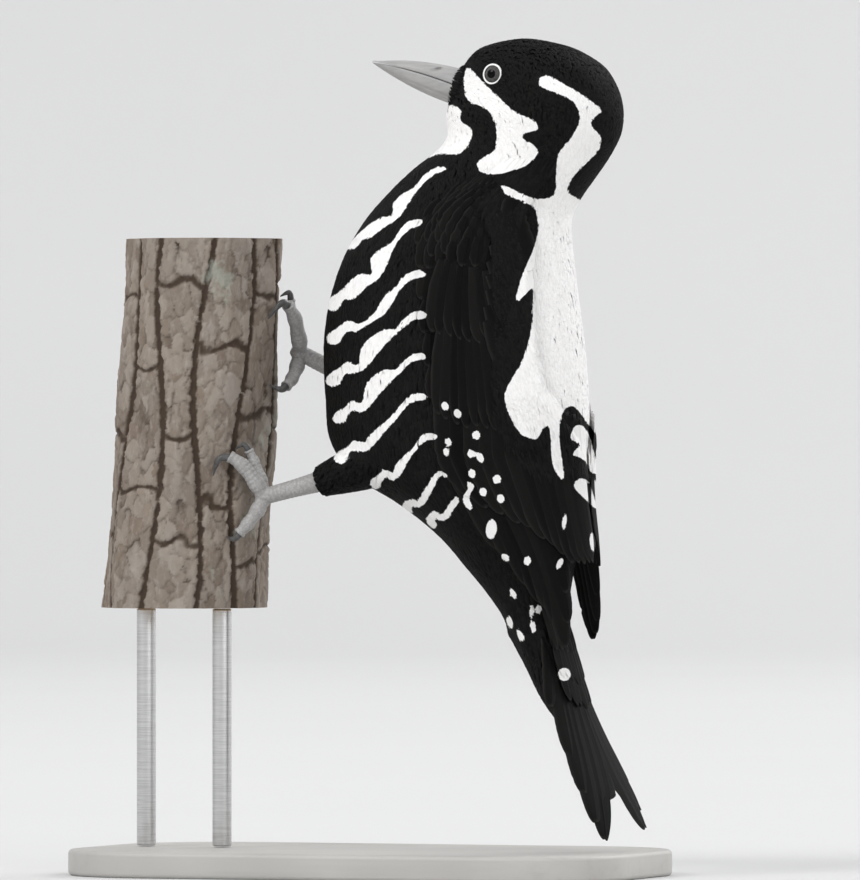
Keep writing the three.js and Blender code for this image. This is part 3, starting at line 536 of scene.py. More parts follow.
class Spot:
    """An oval marking."""

    def __init__(self, column, row, half_width, half_height, lean):
        self.middle = np.array([column, row])
        self.half = np.array([half_width, half_height])
        self.lean = math.radians(lean)
        self.low, self.high = self.middle - self.half.max(), self.middle + self.half.max()

    def depth(self, places):
        across, down = (places - self.middle).T
        turned = np.stack([
            across * math.cos(self.lean) - down * math.sin(self.lean),
            across * math.sin(self.lean) + down * math.cos(self.lean),
        ], 1)
        return (1 - np.linalg.norm(turned / self.half, axis=1)) * self.half.min()


FAR_SPOTS = [Patch(WING_SPOT_HIGH), Patch(WING_SPOT_LOW), Spot(*FAR_WING_SPOT)]
MARKINGS = (
    [Patch(outline) for outline in [CHEEK, THROAT, NAPE, BACK_PANEL] + BAR_OUTLINES]
    + [Bar(points) for points in BARS]
    + [Spot(*spot) for spot in SPOTS]
    + FAR_SPOTS
)
# The pale middle of the breast, which the picture doesn't show: height and half-width.
BREAST_STRIP = [(200, 5.0), (186, 4.4), (160, 3.6), (130, 3.4), (104, 2.6), (92, 1.2), (84, -2.0)]
BREAST_FROM = 125  # degrees from the middle of the back
BREAST_RAGGED = 0.5  # how far the strip's edge wanders
SEEN_BEYOND = 32  # degrees past the middle of the back that the picture still shows
WING_BEYOND = 50  # and of the far wing, where it hangs free of the body


def depth_in(markings, places):
    """How far inside the nearest of the markings places in the picture are, in pixels."""
    inside = np.full(len(places), -FAR)
    for marking in markings:
        near = np.where(np.all((places > marking.low - FAR) & (places < marking.high + FAR), axis=1))[0]
        for chunk in np.array_split(near, len(near) // CHUNK + 1):
            if len(chunk):
                inside[chunk] = np.maximum(inside[chunk], marking.depth(places[chunk]))
    return inside


def back_angle(points):
    """Angle of points from the middle of the back, in degrees."""
    _, front, back, half_width, _ = body.section(points[:, 2])
    across = (points[:, 0] - (front + back) / 2) / ((back - front) / 2)
    return np.degrees(np.arctan2(np.abs(points[:, 1]) / half_width, across))


def whiteness(points, hanging_seen=SEEN_BEYOND):
    """How far inside the nearest white marking points of the plumage are, in mm. Negative is black.
    Below the mantle, the picture shows the far side up to the angle hanging_seen."""
    angle = back_angle(points)
    right = points[:, 1] > 0
    seen = np.where(points[:, 2] < MANTLE[0, 0], hanging_seen, SEEN_BEYOND)
    inside = depth_in(MARKINGS, picture_place(points, ~right | (angle > seen)))
    beyond = np.where(right & (angle < WING_BEYOND))[0]
    inside[beyond] = np.maximum(inside[beyond], depth_in(FAR_SPOTS, picture_place(points[beyond], False)))
    inside *= PIXEL
    half = at_height(BREAST_STRIP, points[:, 2])[0] + BREAST_RAGGED * ripple(points, 9, 3)
    in_front = (angle > BREAST_FROM) & (points[:, 2] < BREAST_STRIP[0][0])
    return np.where(in_front, np.maximum(inside, half - np.abs(points[:, 1])), inside)


# ---------------- materials
class Nodes:
    """A material with a Principled surface, and short ways to add and link its nodes."""

    def __init__(self, name, **surface):
        self.material = bpy.data.materials.new(name)
        self.material.use_nodes = True
        self.tree = self.material.node_tree
        self.surface = self.tree.nodes["Principled BSDF"]
        for socket, number in surface.items():
            self.surface.inputs[socket.replace("_", " ")].default_value = number

    def add(self, kind, settings=None, **sockets):
        node = self.tree.nodes.new("ShaderNode" + kind)
        for name, setting in (settings or {}).items():
            setattr(node, name, setting)
        for name, source in sockets.items():
            self.link(source, node.inputs[name.replace("_", " ")])
        return node

    def link(self, source, socket):
        if isinstance(source, bpy.types.Node):
            source = source.outputs[0]
        if isinstance(source, bpy.types.NodeSocket):
            self.tree.links.new(source, socket)
        else:
            socket.default_value = source

    def value(self, name):
        return self.add("Attribute", {"attribute_name": name}).outputs["Fac"]

    def place(self):
        return self.add("TexCoord").outputs["Object"]

    def maths(self, operation, *numbers, kind="Math"):
        node = self.add(kind, {"operation": operation})
        for socket, number in zip(node.inputs, numbers):
            self.link(number, socket)
        return node

    def remap(self, value, low, high, to_low=0.0, to_high=1.0):
        node = self.add("MapRange", {"interpolation_type": "SMOOTHSTEP"})
        for socket, number in zip(node.inputs, (value, low, high, to_low, to_high)):
            self.link(number, socket)
        return node

    def blend(self, share, a, b, kind="MIX"):
        node = self.add("Mix", {"data_type": "RGBA", "blend_type": kind})
        for socket, source in ((node.inputs[0], share), (node.inputs[6], a), (node.inputs[7], b)):
            self.link(source, socket)
        return node.outputs[2]

    def wash(self, colour, value, low, high, other, most=1.0):
        """A colour that turns into another, but for most, where a value rises from low to high."""
        return self.blend(self.remap(value, low, high, 0.0, most), colour, other)

    def noise(self, scale, detail=2.0, stretch=(1, 1, 1), roughness=0.5):
        stretched = self.add("Mapping", Vector=self.place(), Scale=stretch)
        node = self.add("TexNoise", Vector=stretched, Scale=scale, Detail=detail, Roughness=roughness)
        return node.outputs[0]

    def bump(self, height, distance, strength):
        return self.add("Bump", Height=height, Distance=distance, Strength=strength).outputs[0]

    def done(self, **links):
        for socket, source in links.items():
            self.link(source, self.surface.inputs[socket.replace("_", " ")])
        return self.material


def grey(level, warmth=0.0):
    return (level * (1 + warmth), level, level * (1 - warmth), 1.0)


def plumage_material(name, barb_width, barb_shade, barb_depth, gloss, specular):
    """Feathers: black and white by the markings, with fine barbs that slant from the shaft."""
    nodes = Nodes(name, Roughness=gloss, Specular_IOR_Level=specular)
    fray = nodes.maths("MULTIPLY", nodes.maths("SUBTRACT", nodes.noise(2600.0), 0.5), 0.5)
    inside = nodes.maths("ADD", nodes.value("white"), fray)
    white = nodes.remap(inside, -0.07, 0.07)
    chance = nodes.value("chance")
    black = nodes.blend(chance, grey(0.003, -0.05), grey(0.0075, 0.06))
    black = nodes.blend(nodes.value("rim"), black, grey(0.021, 0.05))
    pale = nodes.blend(chance, grey(0.80, 0.012), grey(0.88, 0.008))
    turns = nodes.maths("MULTIPLY", nodes.value("barb"), 2 * math.pi / barb_width)
    barbs = nodes.maths("SINE", turns)
    shaded = nodes.blend(nodes.remap(barbs, -1.0, 0.6, barb_shade, 1.0), grey(0.0), grey(1.0))
    colour = nodes.blend(1.0, nodes.blend(white, black, pale), shaded, "MULTIPLY")
    return nodes.done(Base_Color=colour, Normal=nodes.bump(barbs, barb_depth, 0.7))


def horn_material(name, dark, light, roughness, along):
    """Horn of the bill and claws: faint streaks along it and faint paler patches."""
    nodes = Nodes(name, Roughness=roughness, Specular_IOR_Level=0.3)
    streaks = nodes.noise(900.0, 3.0, along)
    tint = nodes.wash(grey(dark, 0.01), streaks, 0.35, 0.7, grey(light, 0.012))
    tint = nodes.wash(tint, nodes.noise(160.0, 3.0), 0.3, 0.75, grey(light * 1.06, 0.02), 0.35)
    return nodes.done(Base_Color=tint, Normal=nodes.bump(streaks, 0.00008, 0.35))


def foot_material():
    """Scaled skin: each scale a little paler in its middle."""
    nodes = Nodes("foot_skin", Roughness=0.52, Specular_IOR_Level=0.4)
    cells = nodes.add("TexVoronoi", {"feature": "F1"}, Vector=nodes.place(), Scale=1500.0)
    skin = nodes.wash(grey(0.37, 0.01), cells, 0.1, 0.75, grey(0.29, 0.02))
    skin = nodes.wash(grey(0.20, 0.03), nodes.value("scute"), 0.0, 0.35, skin)
    skin = nodes.wash(skin, nodes.noise(220.0, 3.0), 0.35, 0.8, grey(0.27, 0.04), 0.4)
    return nodes.done(Base_Color=skin, Normal=nodes.bump(cells, 0.00006, 0.5))


def eye_material():
    """The eyeball, coloured by the angle from the middle of the pupil."""
    nodes = Nodes("eyeball", Roughness=0.06, IOR=1.33, Specular_IOR_Level=0.2)
    angle = nodes.value("from_pupil")
    iris = nodes.wash(grey(0.055, 0.03), nodes.noise(1500.0, 3.0), 0.3, 0.7, grey(0.09, 0.04))
    iris = nodes.wash(iris, angle, 38.0, 46.0, grey(0.02))
    colour = nodes.wash(grey(0.0004), angle, 21.0, 22.0, iris)
    return nodes.done(Base_Color=nodes.wash(colour, angle, 50.0, 56.0, grey(0.01)))


def bark_material():
    """Grey-brown flaking bark: each flake has a tone of its own, and the furrows are dark."""
    nodes = Nodes("bark", Roughness=0.9, Specular_IOR_Level=0.15)
    depth = nodes.value("depth")
    cloud = nodes.noise(90.0, 5.0, (1, 1, 0.5), 0.6)
    grain = nodes.noise(620.0, 6.0, (1, 1, 0.4), 0.7)
    lichen = nodes.noise(50.0, 6.0, (1, 1, 0.7), 0.7)
    flake = nodes.blend(nodes.value("tone"), (0.165, 0.13, 0.105, 1), (0.30, 0.265, 0.23, 1))
    flake = nodes.wash(flake, cloud, 0.35, 0.7, (0.25, 0.2, 0.155, 1), 0.55)
    flake = nodes.wash(flake, grain, 0.45, 0.8, (0.36, 0.33, 0.295, 1), 0.7)
    flake = nodes.wash(flake, depth, 0.05, 0.3, (0.38, 0.35, 0.32, 1), 0.35)
    flake = nodes.wash((0.06, 0.043, 0.032, 1), depth, -0.75, -0.05, flake)
    flake = nodes.wash(flake, lichen, 0.62, 0.7, (0.36, 0.39, 0.335, 1), 0.5)
    return nodes.done(Base_Color=flake, Normal=nodes.bump(grain, 0.0004, 0.9))


def sawn_material(middle):
    """A sawn end of the trunk: growth rings round its middle, and saw marks."""
    nodes = Nodes("sawn_wood", Roughness=0.7, Specular_IOR_Level=0.25)
    centred = nodes.maths("SUBTRACT", nodes.place(), middle, kind="VectorMath")
    flat = nodes.maths("MULTIPLY", centred, (1, 1, 0), kind="VectorMath")
    away = nodes.maths("LENGTH", flat, kind="VectorMath").outputs["Value"]
    radius = nodes.maths("ADD", away, nodes.maths("MULTIPLY", nodes.noise(60.0), 0.0022))
    rings = nodes.maths("SINE", nodes.maths("MULTIPLY", radius, 2 * math.pi / 0.00145))
    saw = nodes.noise(500.0, 3.0, (0.12, 1, 1))
    wood = nodes.wash((0.60, 0.44, 0.27, 1), rings, 0.1, 1.0, (0.38, 0.235, 0.115, 1), 0.8)
    wood = nodes.wash(wood, saw, 0.4, 0.7, (0.30, 0.21, 0.13, 1), 0.25)
    return nodes.done(Base_Color=wood, Normal=nodes.bump(saw, 0.0003, 0.5))


def stand_material():
    """Pale matt paint over fine-grained wood."""
    nodes = Nodes("painted_base", Roughness=0.5, Specular_IOR_Level=0.4)
    grain = nodes.noise(240.0, 5.0, (0.06, 1, 1), 0.6)
    cloud = nodes.noise(20.0, 3.0)
    paint = nodes.wash((0.41, 0.40, 0.385, 1), cloud, 0.3, 0.7, (0.46, 0.45, 0.43, 1))
    paint = nodes.wash(paint, grain, 0.45, 0.75, (0.34, 0.33, 0.31, 1), 0.3)
    return nodes.done(Base_Color=paint, Normal=nodes.bump(grain, 0.00012, 0.5))


def steel_material():
    """Satin steel, brushed round the rod."""
    nodes = Nodes("satin_steel", Metallic=1.0, Roughness=0.3, Anisotropic=0.4)
    brush = nodes.noise(700.0, 3.0, (0.2, 0.2, 6))
    steel = nodes.wash(grey(0.50), brush, 0.3, 0.7, grey(0.64))
    return nodes.done(Base_Color=steel, Normal=nodes.bump(brush, 0.00003, 0.4))


def floor_material():
    nodes = Nodes("studio_floor", Roughness=0.9, Specular_IOR_Level=0.1)
    return nodes.done(Base_Color=nodes.blend(nodes.noise(3.0), grey(0.63), grey(0.65)))


soft_feathers = plumage_material("body_feathers", 0.32, 0.97, 0.00001, 0.62, 0.08)
firm_feathers = plumage_material("flight_feathers", 0.42, 0.84, 0.00004, 0.62, 0.05)
bill_horn = horn_material("bill_horn", 0.30, 0.36, 0.5, (0.12, 1, 1))
claw_horn = horn_material("claw_horn", 0.055, 0.10, 0.3, (1, 1, 0.3))
foot_skin = foot_material()
eyeball = eye_material()

# ---------------- where things grow
def node_middle(name):
    low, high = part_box(name)
    return (np.array(low) + np.array(high)) / 2 / MM


EYE_RADIUS = (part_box("eye_left")[1].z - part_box("eye_left")[0].z) / 2 / MM
EYES = {side: node_middle("eye_" + name) for name, side in SIDES}
BILL_BASE = np.array([24.0, 0.0, 213.5])
BILL_TIP = (0.75, 219.55)  # x and height
BILL_LENGTH = 23.6
BILL_HALF_WIDTH = 4.4
BILL_TIP_HALF_WIDTH = 0.75


def bill_half_width(at):
    """Half the bill's width at its mouth, at a share of its length from the tip."""
    return BILL_TIP_HALF_WIDTH + (BILL_HALF_WIDTH - BILL_TIP_HALF_WIDTH) * at**0.8


def ridge(at):
    """Height of the bill's ridge, at a share of its length from the tip."""
    return BILL_TIP[1] + 0.1 + 1.9 * at - 3.7 * at**2


def mouth(at):
    return BILL_TIP[1] - 3.9 * at - 2.2 * at**2


def keel(at):
    return BILL_TIP[1] - 0.3 - 15.9 * at + 4.3 * at**2


# Thighs from inside the torso to the heel: points, and the radii there.
THIGHS = {
    LEFT: ([(9, -12.5, 112.5), (-1, -13.4, 109), (-9.8, -14.2, 106)], (7.2, 5.8, 4.1)),
    RIGHT: ([(10, 14.5, 113), (3, 17.6, 122), (-5.2, 18.3, 131.6)], (7.6, 6.0, 4.0)),
}

# ---------------- tail's surface
TAIL_LINE = [(49.6, 78), (54.2, 66), (58.4, 53.5), (63.0, 42), (67.8, 31.5), (72.2, 21.5), (76.4, 10.6)]
TAIL_HALF_WIDTH = 16.0
TAIL_VAULT = 3.0
# Past its first stretch the fan flattens, rolls and swings a little to the left.
TIP_FROM, TIP_VAULT, TIP_ROLL, TIP_SWING = 20, 1.2, 0.1, -4.2
TAIL_STEPS = 400
tail_middles = evenly(TAIL_LINE, TAIL_STEPS)
tail_runs = np.concatenate([[0], np.cumsum(np.linalg.norm(np.diff(tail_middles, axis=0), axis=1))])
TAIL_LENGTH = tail_runs[-1]


def fan_level(along, sideways):
    """Height of the vaulted fan over its middle line, and how far it has swung to the side."""
    share = smooth(TIP_FROM, TAIL_LENGTH, along)
    vault = lerp(TAIL_VAULT, TIP_VAULT, share)
    return TIP_ROLL * share * sideways - vault * (sideways / TAIL_HALF_WIDTH) ** 2, TIP_SWING * share


def tail_point(along, sideways, lift):
    """A point of the tail's fan, at a distance down it and a distance from its middle."""
    along, sideways, lift = np.broadcast_arrays(*(np.asarray(v, float) for v in (along, sideways, lift)))
    at = np.clip(along, 0, TAIL_LENGTH)
    middle, ahead, behind = (
        np.stack([np.interp(at + step, tail_runs, tail_middles[:, k]) for k in (0, 1)], -1)
        for step in (0, 0.5, -0.5)
    )
    run = unit(ahead - behind)
    level, swing = fan_level(along, sideways)
    level = level + lift
    x = middle[..., 0] + run[..., 0] * (along - at) - run[..., 1] * level
    z = middle[..., 1] + run[..., 1] * (along - at) + run[..., 0] * level
    return np.stack([x, sideways + swing, z], -1)


# The mass of coverts round the tail's root: distance down the tail, half-width, height above the
# fan and depth below it.
COVERTS = [(6, 8.8, 1.4, 13.6), (13, 9.4, 1.4, 12.6), (20, 9.9, 1.2, 11.2), (28, 10.4, 0.9, 9.7),
           (36, 10.2, 0.3, 7.0), (43, 8.8, -0.1, 4.4), (49, 6.8, -0.5, 2.5), (55, 4.6, -0.7, 1.2)]


def covert_rings(sides=48, steps=40):
    along, half_width, above, below = evenly(COVERTS, steps).T[..., None]
    turn = circle(sides)
    sine = np.sin(turn)
    level = sine * np.where(sine > 0, above, below) - 0.2
    return tail_point(along * np.ones(sides), half_width * np.cos(turn), level)


# ---------------- the skin
def body_rings(sides=96, steps=150):
    section = evenly(BODY, steps).T[..., None]
    return body.on_section(section, np.arange(sides) / sides * 360, 0, RIGHT)


SKIN_VOXEL = 0.9
TRUNK_COAT, HEAD_COAT = 1.0, 0.42  # how deep the plumage is
NAPE_HEIGHTS = (190, 206)  # between which it changes


def coat_depth(points):
    """How deep the plumage is at points of the body."""
    return lerp(TRUNK_COAT, HEAD_COAT, smooth(*NAPE_HEIGHTS, points[:, 2]))


solids = [capped(body_rings()), capped(covert_rings())]
solids += [capped(tube(points, radii, 32, 24)) for points, radii in THIGHS.values()]
skin_places, skin_faces, skin_normals = fused(solids, SKIN_VOXEL, 5)
skin_places = skin_places - skin_normals * coat_depth(skin_places)[:, None]
skin_tree = BVHTree.FromPolygons(skin_places.tolist(), skin_faces.tolist())
skin_white = whiteness(skin_places)


def make_skin():
    skin = piece_of("skin", skin_places, skin_faces, soft_feathers)
    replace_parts(skin, "head", "neck", "torso", "thigh_left", "thigh_right")
    set_values(
        skin,
        white=skin_white,
        barb=skin_places @ np.array([0.4, 0.3, 1.0]),
        chance=0.5 + 0.4 * ripple(skin_places, 4, 8),
    )


# ---------------- the body's feathers
# How far back feathers point for each unit down, by height.
BACKWARD = [(0, 0.4), (60, 0.38), (105, 0.3), (125, 0.05), (150, -0.05), (175, -0.1), (200, 0.05), (215, 0.2)]
FROM_BILL = (10, 38)  # distances between which feathers turn from pointing away from the bill to down
FROM_LEG = (1.6, 0.4)  # and to point along a leg, in its radii


def lie(points, normals):
    """The way that feathers point: back from the bill over the head, then down the body to the tail,
    and down the legs."""
    from_bill = points - BILL_BASE
    backward = at_height(BACKWARD, points[:, 2])[0]
    down = np.stack([backward, 0.0 * backward, -np.ones(len(points))], 1)
    turned_down = smooth(*FROM_BILL, np.linalg.norm(from_bill, axis=1))
    way = lerp(unit(from_bill), unit(down), turned_down[:, None])
    for line, radii in THIGHS.values():
        distance, along, _ = near_line(points, line)
        way = lerp(way, along, smooth(*FROM_LEG, distance / radii[1])[:, None] * 0.9)
    return unit(way - normals * (way * normals).sum(1, keepdims=True))


def eye_distance(points):
    return np.minimum(*(np.linalg.norm(points - EYES[side], axis=1) for side in (LEFT, RIGHT)))


# Angles between which a wing hides the body, by height.
WING_HIDES = [(112, 20, 76), (118, 36, 78), (124, 54, 80), (150, 60, 82), (166, 58, 84), (178, 66, 88)]
UNDER_FAN = 1.8  # how far under the fan the tail's feathers still hide the coat
BARE_FROM = 16  # how far down the tail the coat ends above
EYE_MARGIN, BILL_MARGIN = 0.35, 0.5  # within an eye or the bill, where feathers still start
BILL_ENDS_AT = 29  # x inside the head


def on_tail_top(points):
    """Whether points are on the upper side of the coverts, where the tail's feathers lie."""
    seen_from, skip = points[:, ::2], 8  # from the side, against every eighth step of the tail's line
    nearest = np.linalg.norm(seen_from[:, None] - tail_middles[::skip], axis=-1).argmin(1) * skip
    after, before = np.minimum(nearest + 1, TAIL_STEPS - 1), np.maximum(nearest - 1, 0)
    run = unit(tail_middles[after] - tail_middles[before])
    offset = seen_from - tail_middles[nearest]
    level = -offset[:, 0] * run[:, 1] + offset[:, 1] * run[:, 0]
    _, swing = fan_level(tail_runs[nearest], 0.0)
    fan, _ = fan_level(tail_runs[nearest], points[:, 1] - swing)
    return (level - fan > -UNDER_FAN) & (tail_runs[nearest] > BARE_FROM)


def is_hidden(points):
    """Whether feathers rooted here would lie wholly under a wing, an eye or the bill."""
    height, angle = points[:, 2], back_angle(points)
    low, high = at_height(WING_HIDES, height)
    under_wing = (angle > low) & (angle < high) & (height > WING_HIDES[0][0]) & (height < WING_HIDES[-1][0])
    in_eye = eye_distance(points) < EYE_RADIUS - EYE_MARGIN
    share = (points[:, 0] - BILL_TIP[0]) / BILL_LENGTH
    in_bill = (height < ridge(share) - BILL_MARGIN) & (height > keel(share) + BILL_MARGIN)
    in_bill &= (np.abs(points[:, 1]) < BILL_HALF_WIDTH - BILL_MARGIN) & (points[:, 0] < BILL_ENDS_AT)
    return under_wing | in_eye | in_bill | on_tail_top(points)


# By height: feathers to a square millimetre where the coat is white, their length and half-width.
COAT = [(0, 1.3, 6.2, 0.52), (70, 1.5, 6.0, 0.5), (110, 1.5, 6.2, 0.5), (150, 1.6, 5.8, 0.48),
        (185, 1.9, 5.0, 0.45), (197, 2.6, 3.8, 0.41), (210, 3.3, 3.0, 0.36), (226, 3.3, 2.8, 0.33)]
# A small feather is rows of three points across it and one point at its tip. These are the rows'
# places along it, fewest in a black feather and most where the edge of a marking crosses it.
BLACK = np.array([0.0, 0.66, 1.0])
WHITE = np.array([0.0, 0.52, 0.84, 1.0])
MARKED = np.array([0.0, 0.42, 0.6, 0.76, 0.9, 1.0])
EDGE_NEAR = 0.9  # millimetres from a marking's edge within which feathers are marked
# Outline: how far along, and there the shares of the full half-width and of the full height.
TUFT_OUTLINE = [(0, 0.55, 0.4), (0.52, 1.0, 1.0), (0.84, 0.84, 0.75), (0.93, 0.5, 0.4), (1, 0, 0)]
TUFT_CROWN = 0.22  # how high a feather's middle stands over its edges, as a share of its half-width
TUFT_SLANT = 1.2  # how far down the feather its barbs run for each unit across it
TUFT_SWAY = 0.13  # radians by which feathers point to one side or the other
BLACK_DENSITY = 0.68  # of the coat, against the white
ROOT_SPREAD = 0.55  # of a skin's voxel
ROOT_SUNK = 0.3  # under the skin
MIDDLE_LEVEL, TIP_LEVEL = (0.82, 0.9), (0.92, 1.01)  # of feathers, as shares of the coat's depth
LENGTHS, WIDTHS = (0.82, 1.15), (0.85, 1.15)  # of feathers, as shares of the coat's usual ones
ROOT_GAP, MIDDLE_GAP, TIP_GAP = 0.1, 0.4, 0.45  # from an eye's ring to feathers
# Where the coat changes: distances from an eye, for its density and for its feathers' sizes, and
# distances from the bill's root and, in a leg's radii, from a leg.
EYE_NEAR, EYE_CLOSE, BILL_NEAR, LEG_NEAR = (8.0, 3.5), (8.0, 3.3), (12.0, 3.0), (1.5, 1.0)
# By how much it changes there, as shares: its density and depth, and its feathers' widths and lengths.
EYE_DENSER, EYE_SHALLOWER, EYE_NARROWER = 1.1, 0.35, 0.15
EYE_SHORTER, BILL_SHORTER, LEG_SHORTER = 0.4, 0.15, 0.45
EDGE_JITTER = 0.09  # by which feathers differ in how they take a marking's edge
PATCH_SIZE = 0.003  # of the OFBake map, for one feather


def on_skin(points):
    """The skin's points nearest to points, and its normals there."""
    found = [skin_tree.find_nearest(p) for p in points.tolist()]
    return np.array([f[0][:] for f in found]), np.array([f[1][:] for f in found])


def coat_roots(draw):
    """Places of feathers' roots, spread over the skin at the coat's density, fewer where it is black."""
    wanted = at_height(COAT, skin_places[:, 2])[0] * SKIN_VOXEL**2
    wanted = wanted * (1 + EYE_DENSER * smooth(*EYE_NEAR, eye_distance(skin_places)))
    wanted = wanted * lerp(BLACK_DENSITY, 1, smooth(-2.4, -1.0, skin_white))
    copies = np.floor(wanted + draw.uniform(size=len(wanted))).astype(int)
    roots = np.repeat(skin_places, copies, axis=0)
    roots = roots + draw.uniform(-ROOT_SPREAD, ROOT_SPREAD, roots.shape) * SKIN_VOXEL
    return roots[~is_hidden(roots)]


def clear_of_eyes(points, gap):
    """Points of feathers, moved out of the rings round the eyes."""
    for side in (LEFT, RIGHT):
        axis = eye_axis(side)
        offset = points - EYES[side]
        ahead = (offset @ axis)[:, None]
        out = offset - ahead * axis
        away = np.linalg.norm(out, axis=1, keepdims=True)
        clear = RING_RADIUS + gap
        points = np.where((away < clear) & (ahead > 0), points + unit(out) * (clear - away), points)
    return points


def tufts(roots, draw):
    """The lines and sizes of the coat's feathers, from roots in the skin to its outer surface."""
    roots, normals = on_skin(roots)
    count = len(roots)
    way = lie(roots, normals)
    way = unit(way + np.cross(normals, way) * draw.normal(0, TUFT_SWAY, (count, 1)))
    _, length, half_width = at_height(COAT, roots[:, 2])
    near_eye = smooth(*EYE_CLOSE, eye_distance(roots))
    near_bill = smooth(*BILL_NEAR, np.linalg.norm(roots - BILL_BASE, axis=1))
    on_leg = np.zeros(count)
    for line, radii in THIGHS.values():
        on_leg = np.maximum(on_leg, smooth(*LEG_NEAR, near_line(roots, line)[0] / radii[1]))
    shorter = (1 - EYE_SHORTER * near_eye) * (1 - BILL_SHORTER * near_bill) * (1 - LEG_SHORTER * on_leg)
    long = length * shorter * draw.uniform(*LENGTHS, count)
    half = half_width * (1 - EYE_NARROWER * near_eye) * draw.uniform(*WIDTHS, count)
    depth = coat_depth(roots) * (1 - EYE_SHALLOWER * near_eye)
    middle, middle_normal = on_skin(roots + way * (long * 0.5)[:, None])
    tip, tip_normal = on_skin(middle + unit(middle - roots) * (long * 0.5)[:, None])
    middle_rise = (depth * draw.uniform(*MIDDLE_LEVEL, count))[:, None]
    tip_rise = (depth * draw.uniform(*TIP_LEVEL, count))[:, None]
    return dict(
        root=clear_of_eyes(roots - normals * ROOT_SUNK, ROOT_GAP),
        middle=clear_of_eyes(middle + middle_normal * middle_rise, MIDDLE_GAP),
        tip=clear_of_eyes(tip + tip_normal * tip_rise, TIP_GAP),
        root_up=normals, middle_up=middle_normal, tip_up=tip_normal, half=half, long=long,
    )


def kept_points(shares):
    """Which of a feather's rows of points are kept: all but the two at the sides of its tip."""
    last = 3 * (len(shares) - 1)
    return [*range(last), last + 1]


def tuft_shape(shares, root, middle, tip, root_up, middle_up, tip_up, half, long):
    """Points of flat feathers with a raised shaft, and how far each point's barb is along its feather."""
    s = shares[None, :, None]
    line = (
        root[:, None] * (2 * (s - 0.5) * (s - 1))
        - middle[:, None] * (4 * s * (s - 1))
        + tip[:, None] * (2 * s * (s - 0.5))
    )
    up = root_up[:, None] * (1 - s) ** 2 + middle_up[:, None] * 2 * s * (1 - s) + tip_up[:, None] * s**2
    up = unit(up)
    ahead = unit(np.gradient(line, axis=1))
    across = unit(np.cross(up, ahead))
    outline, widths, crowns = np.array(TUFT_OUTLINE).T
    spread = half[:, None] * np.interp(shares, outline, widths)
    width = spread[..., None]
    crown = (half[:, None] * np.interp(shares, outline, crowns) * TUFT_CROWN)[..., None]
    places = np.stack([line - across * width, line + up * crown, line + across * width], 2)
    runs = long[:, None] * shares
    slant = spread * TUFT_SLANT
    barb = np.stack([runs - slant, runs, runs - slant], 2)
    count, kept = len(root), kept_points(shares)
    return places.reshape(count, -1, 3)[:, kept], barb.reshape(count, -1)[:, kept]


def tuft_faces(count, shares):
    """Quads along the three sides of each feather, and the triangles at its root and its point."""
    sides = ((0, 1), (1, 2), (2, 0))
    row = np.arange(len(shares) - 2) * 3
    quads = np.concatenate([np.stack([row + a, row + b, row + b + 3, row + a + 3], 1) for a, b in sides])
    last = row[-1] + 3
    ends = np.array([[0, 2, 1]] + [[last + a, last + b, last + 3] for a, b in sides])
    start = (np.arange(count) * len(kept_points(shares)))[:, None, None]
    return [(ends + start).reshape(-1, 3), (quads + start).reshape(-1, 4)]


def tuft_patches(spots, shares):
    """Places on the OFBake map of the points of feathers, from the middles of their patches."""
    patch = np.stack(np.meshgrid([-0.5, 0, 0.5], shares - 0.5), -1).reshape(-1, 2)[kept_points(shares)]
    return (spots[:, None] + patch * PATCH_SIZE).reshape(-1, 2)


# The soft scapulars, which lie over the wing's inner edge: height, and angles of the band's edges.
SHOULDER = [(193, 50, 86), (188, 50, 82), (183, 48, 72), (176, 47, 62), (166, 43, 60), (155, 42, 59),
            (144, 42, 60), (134, 38, 62), (126, 24, 62), (119, 8, 56), (112, 3, 46)]
SHOULDER_LIFT = [(193, 0.3), (188, 0.9), (182, 2.1), (134, 2.2), (122, 1.5), (112, 1.3)]
SHOULDER_TUFTS = 4800
SHOULDER_LEAN = (-3.2, -1.2)  # degrees by which they turn inwards, at the band's edges


def shoulder_tufts(side, draw):
    """The scapulars' loose outer barbs: feathers like the coat's that lie on the folded wing."""
    _, _, long, half = COAT[3]
    count = SHOULDER_TUFTS
    height = draw.uniform(SHOULDER[-1][0], SHOULDER[0][0], count)
    share = draw.uniform(size=count)
    angle = lerp(*at_height(SHOULDER, height), share)
    long = long * draw.uniform(0.85, 1.2, count)
    lean = lerp(*SHOULDER_LEAN, share) + draw.normal(0, 0.5, count)
    rise = at_height(SHOULDER_LIFT, height)[0] * smooth(-0.1, 0.2, share)

    def at(step, lift):
        return wing_bed.point(height - long * step, angle + lean * step, lift, side)

    up = unit(at(0.5, rise + 1) - at(0.5, rise))
    return dict(
        root=at(0, rise - 0.5),
        middle=at(0.5, rise + 0.62),
        tip=at(1, rise * 0.92 + draw.uniform(0.6, 0.95, count)),
        root_up=up, middle_up=up, tip_up=up, half=np.full(count, half), long=long,
    )


# The coat's pieces, each a band of heights on one side. The scapulars lie on the wings.
COAT_BANDS = [("scapulars", 0, 400), ("crown", 209, 400), ("face", 199, 209), ("neck", 181, 199),
              ("breast", 150, 181), ("flank", 115, 150), ("belly", 82, 115), ("vent", -100, 82)]


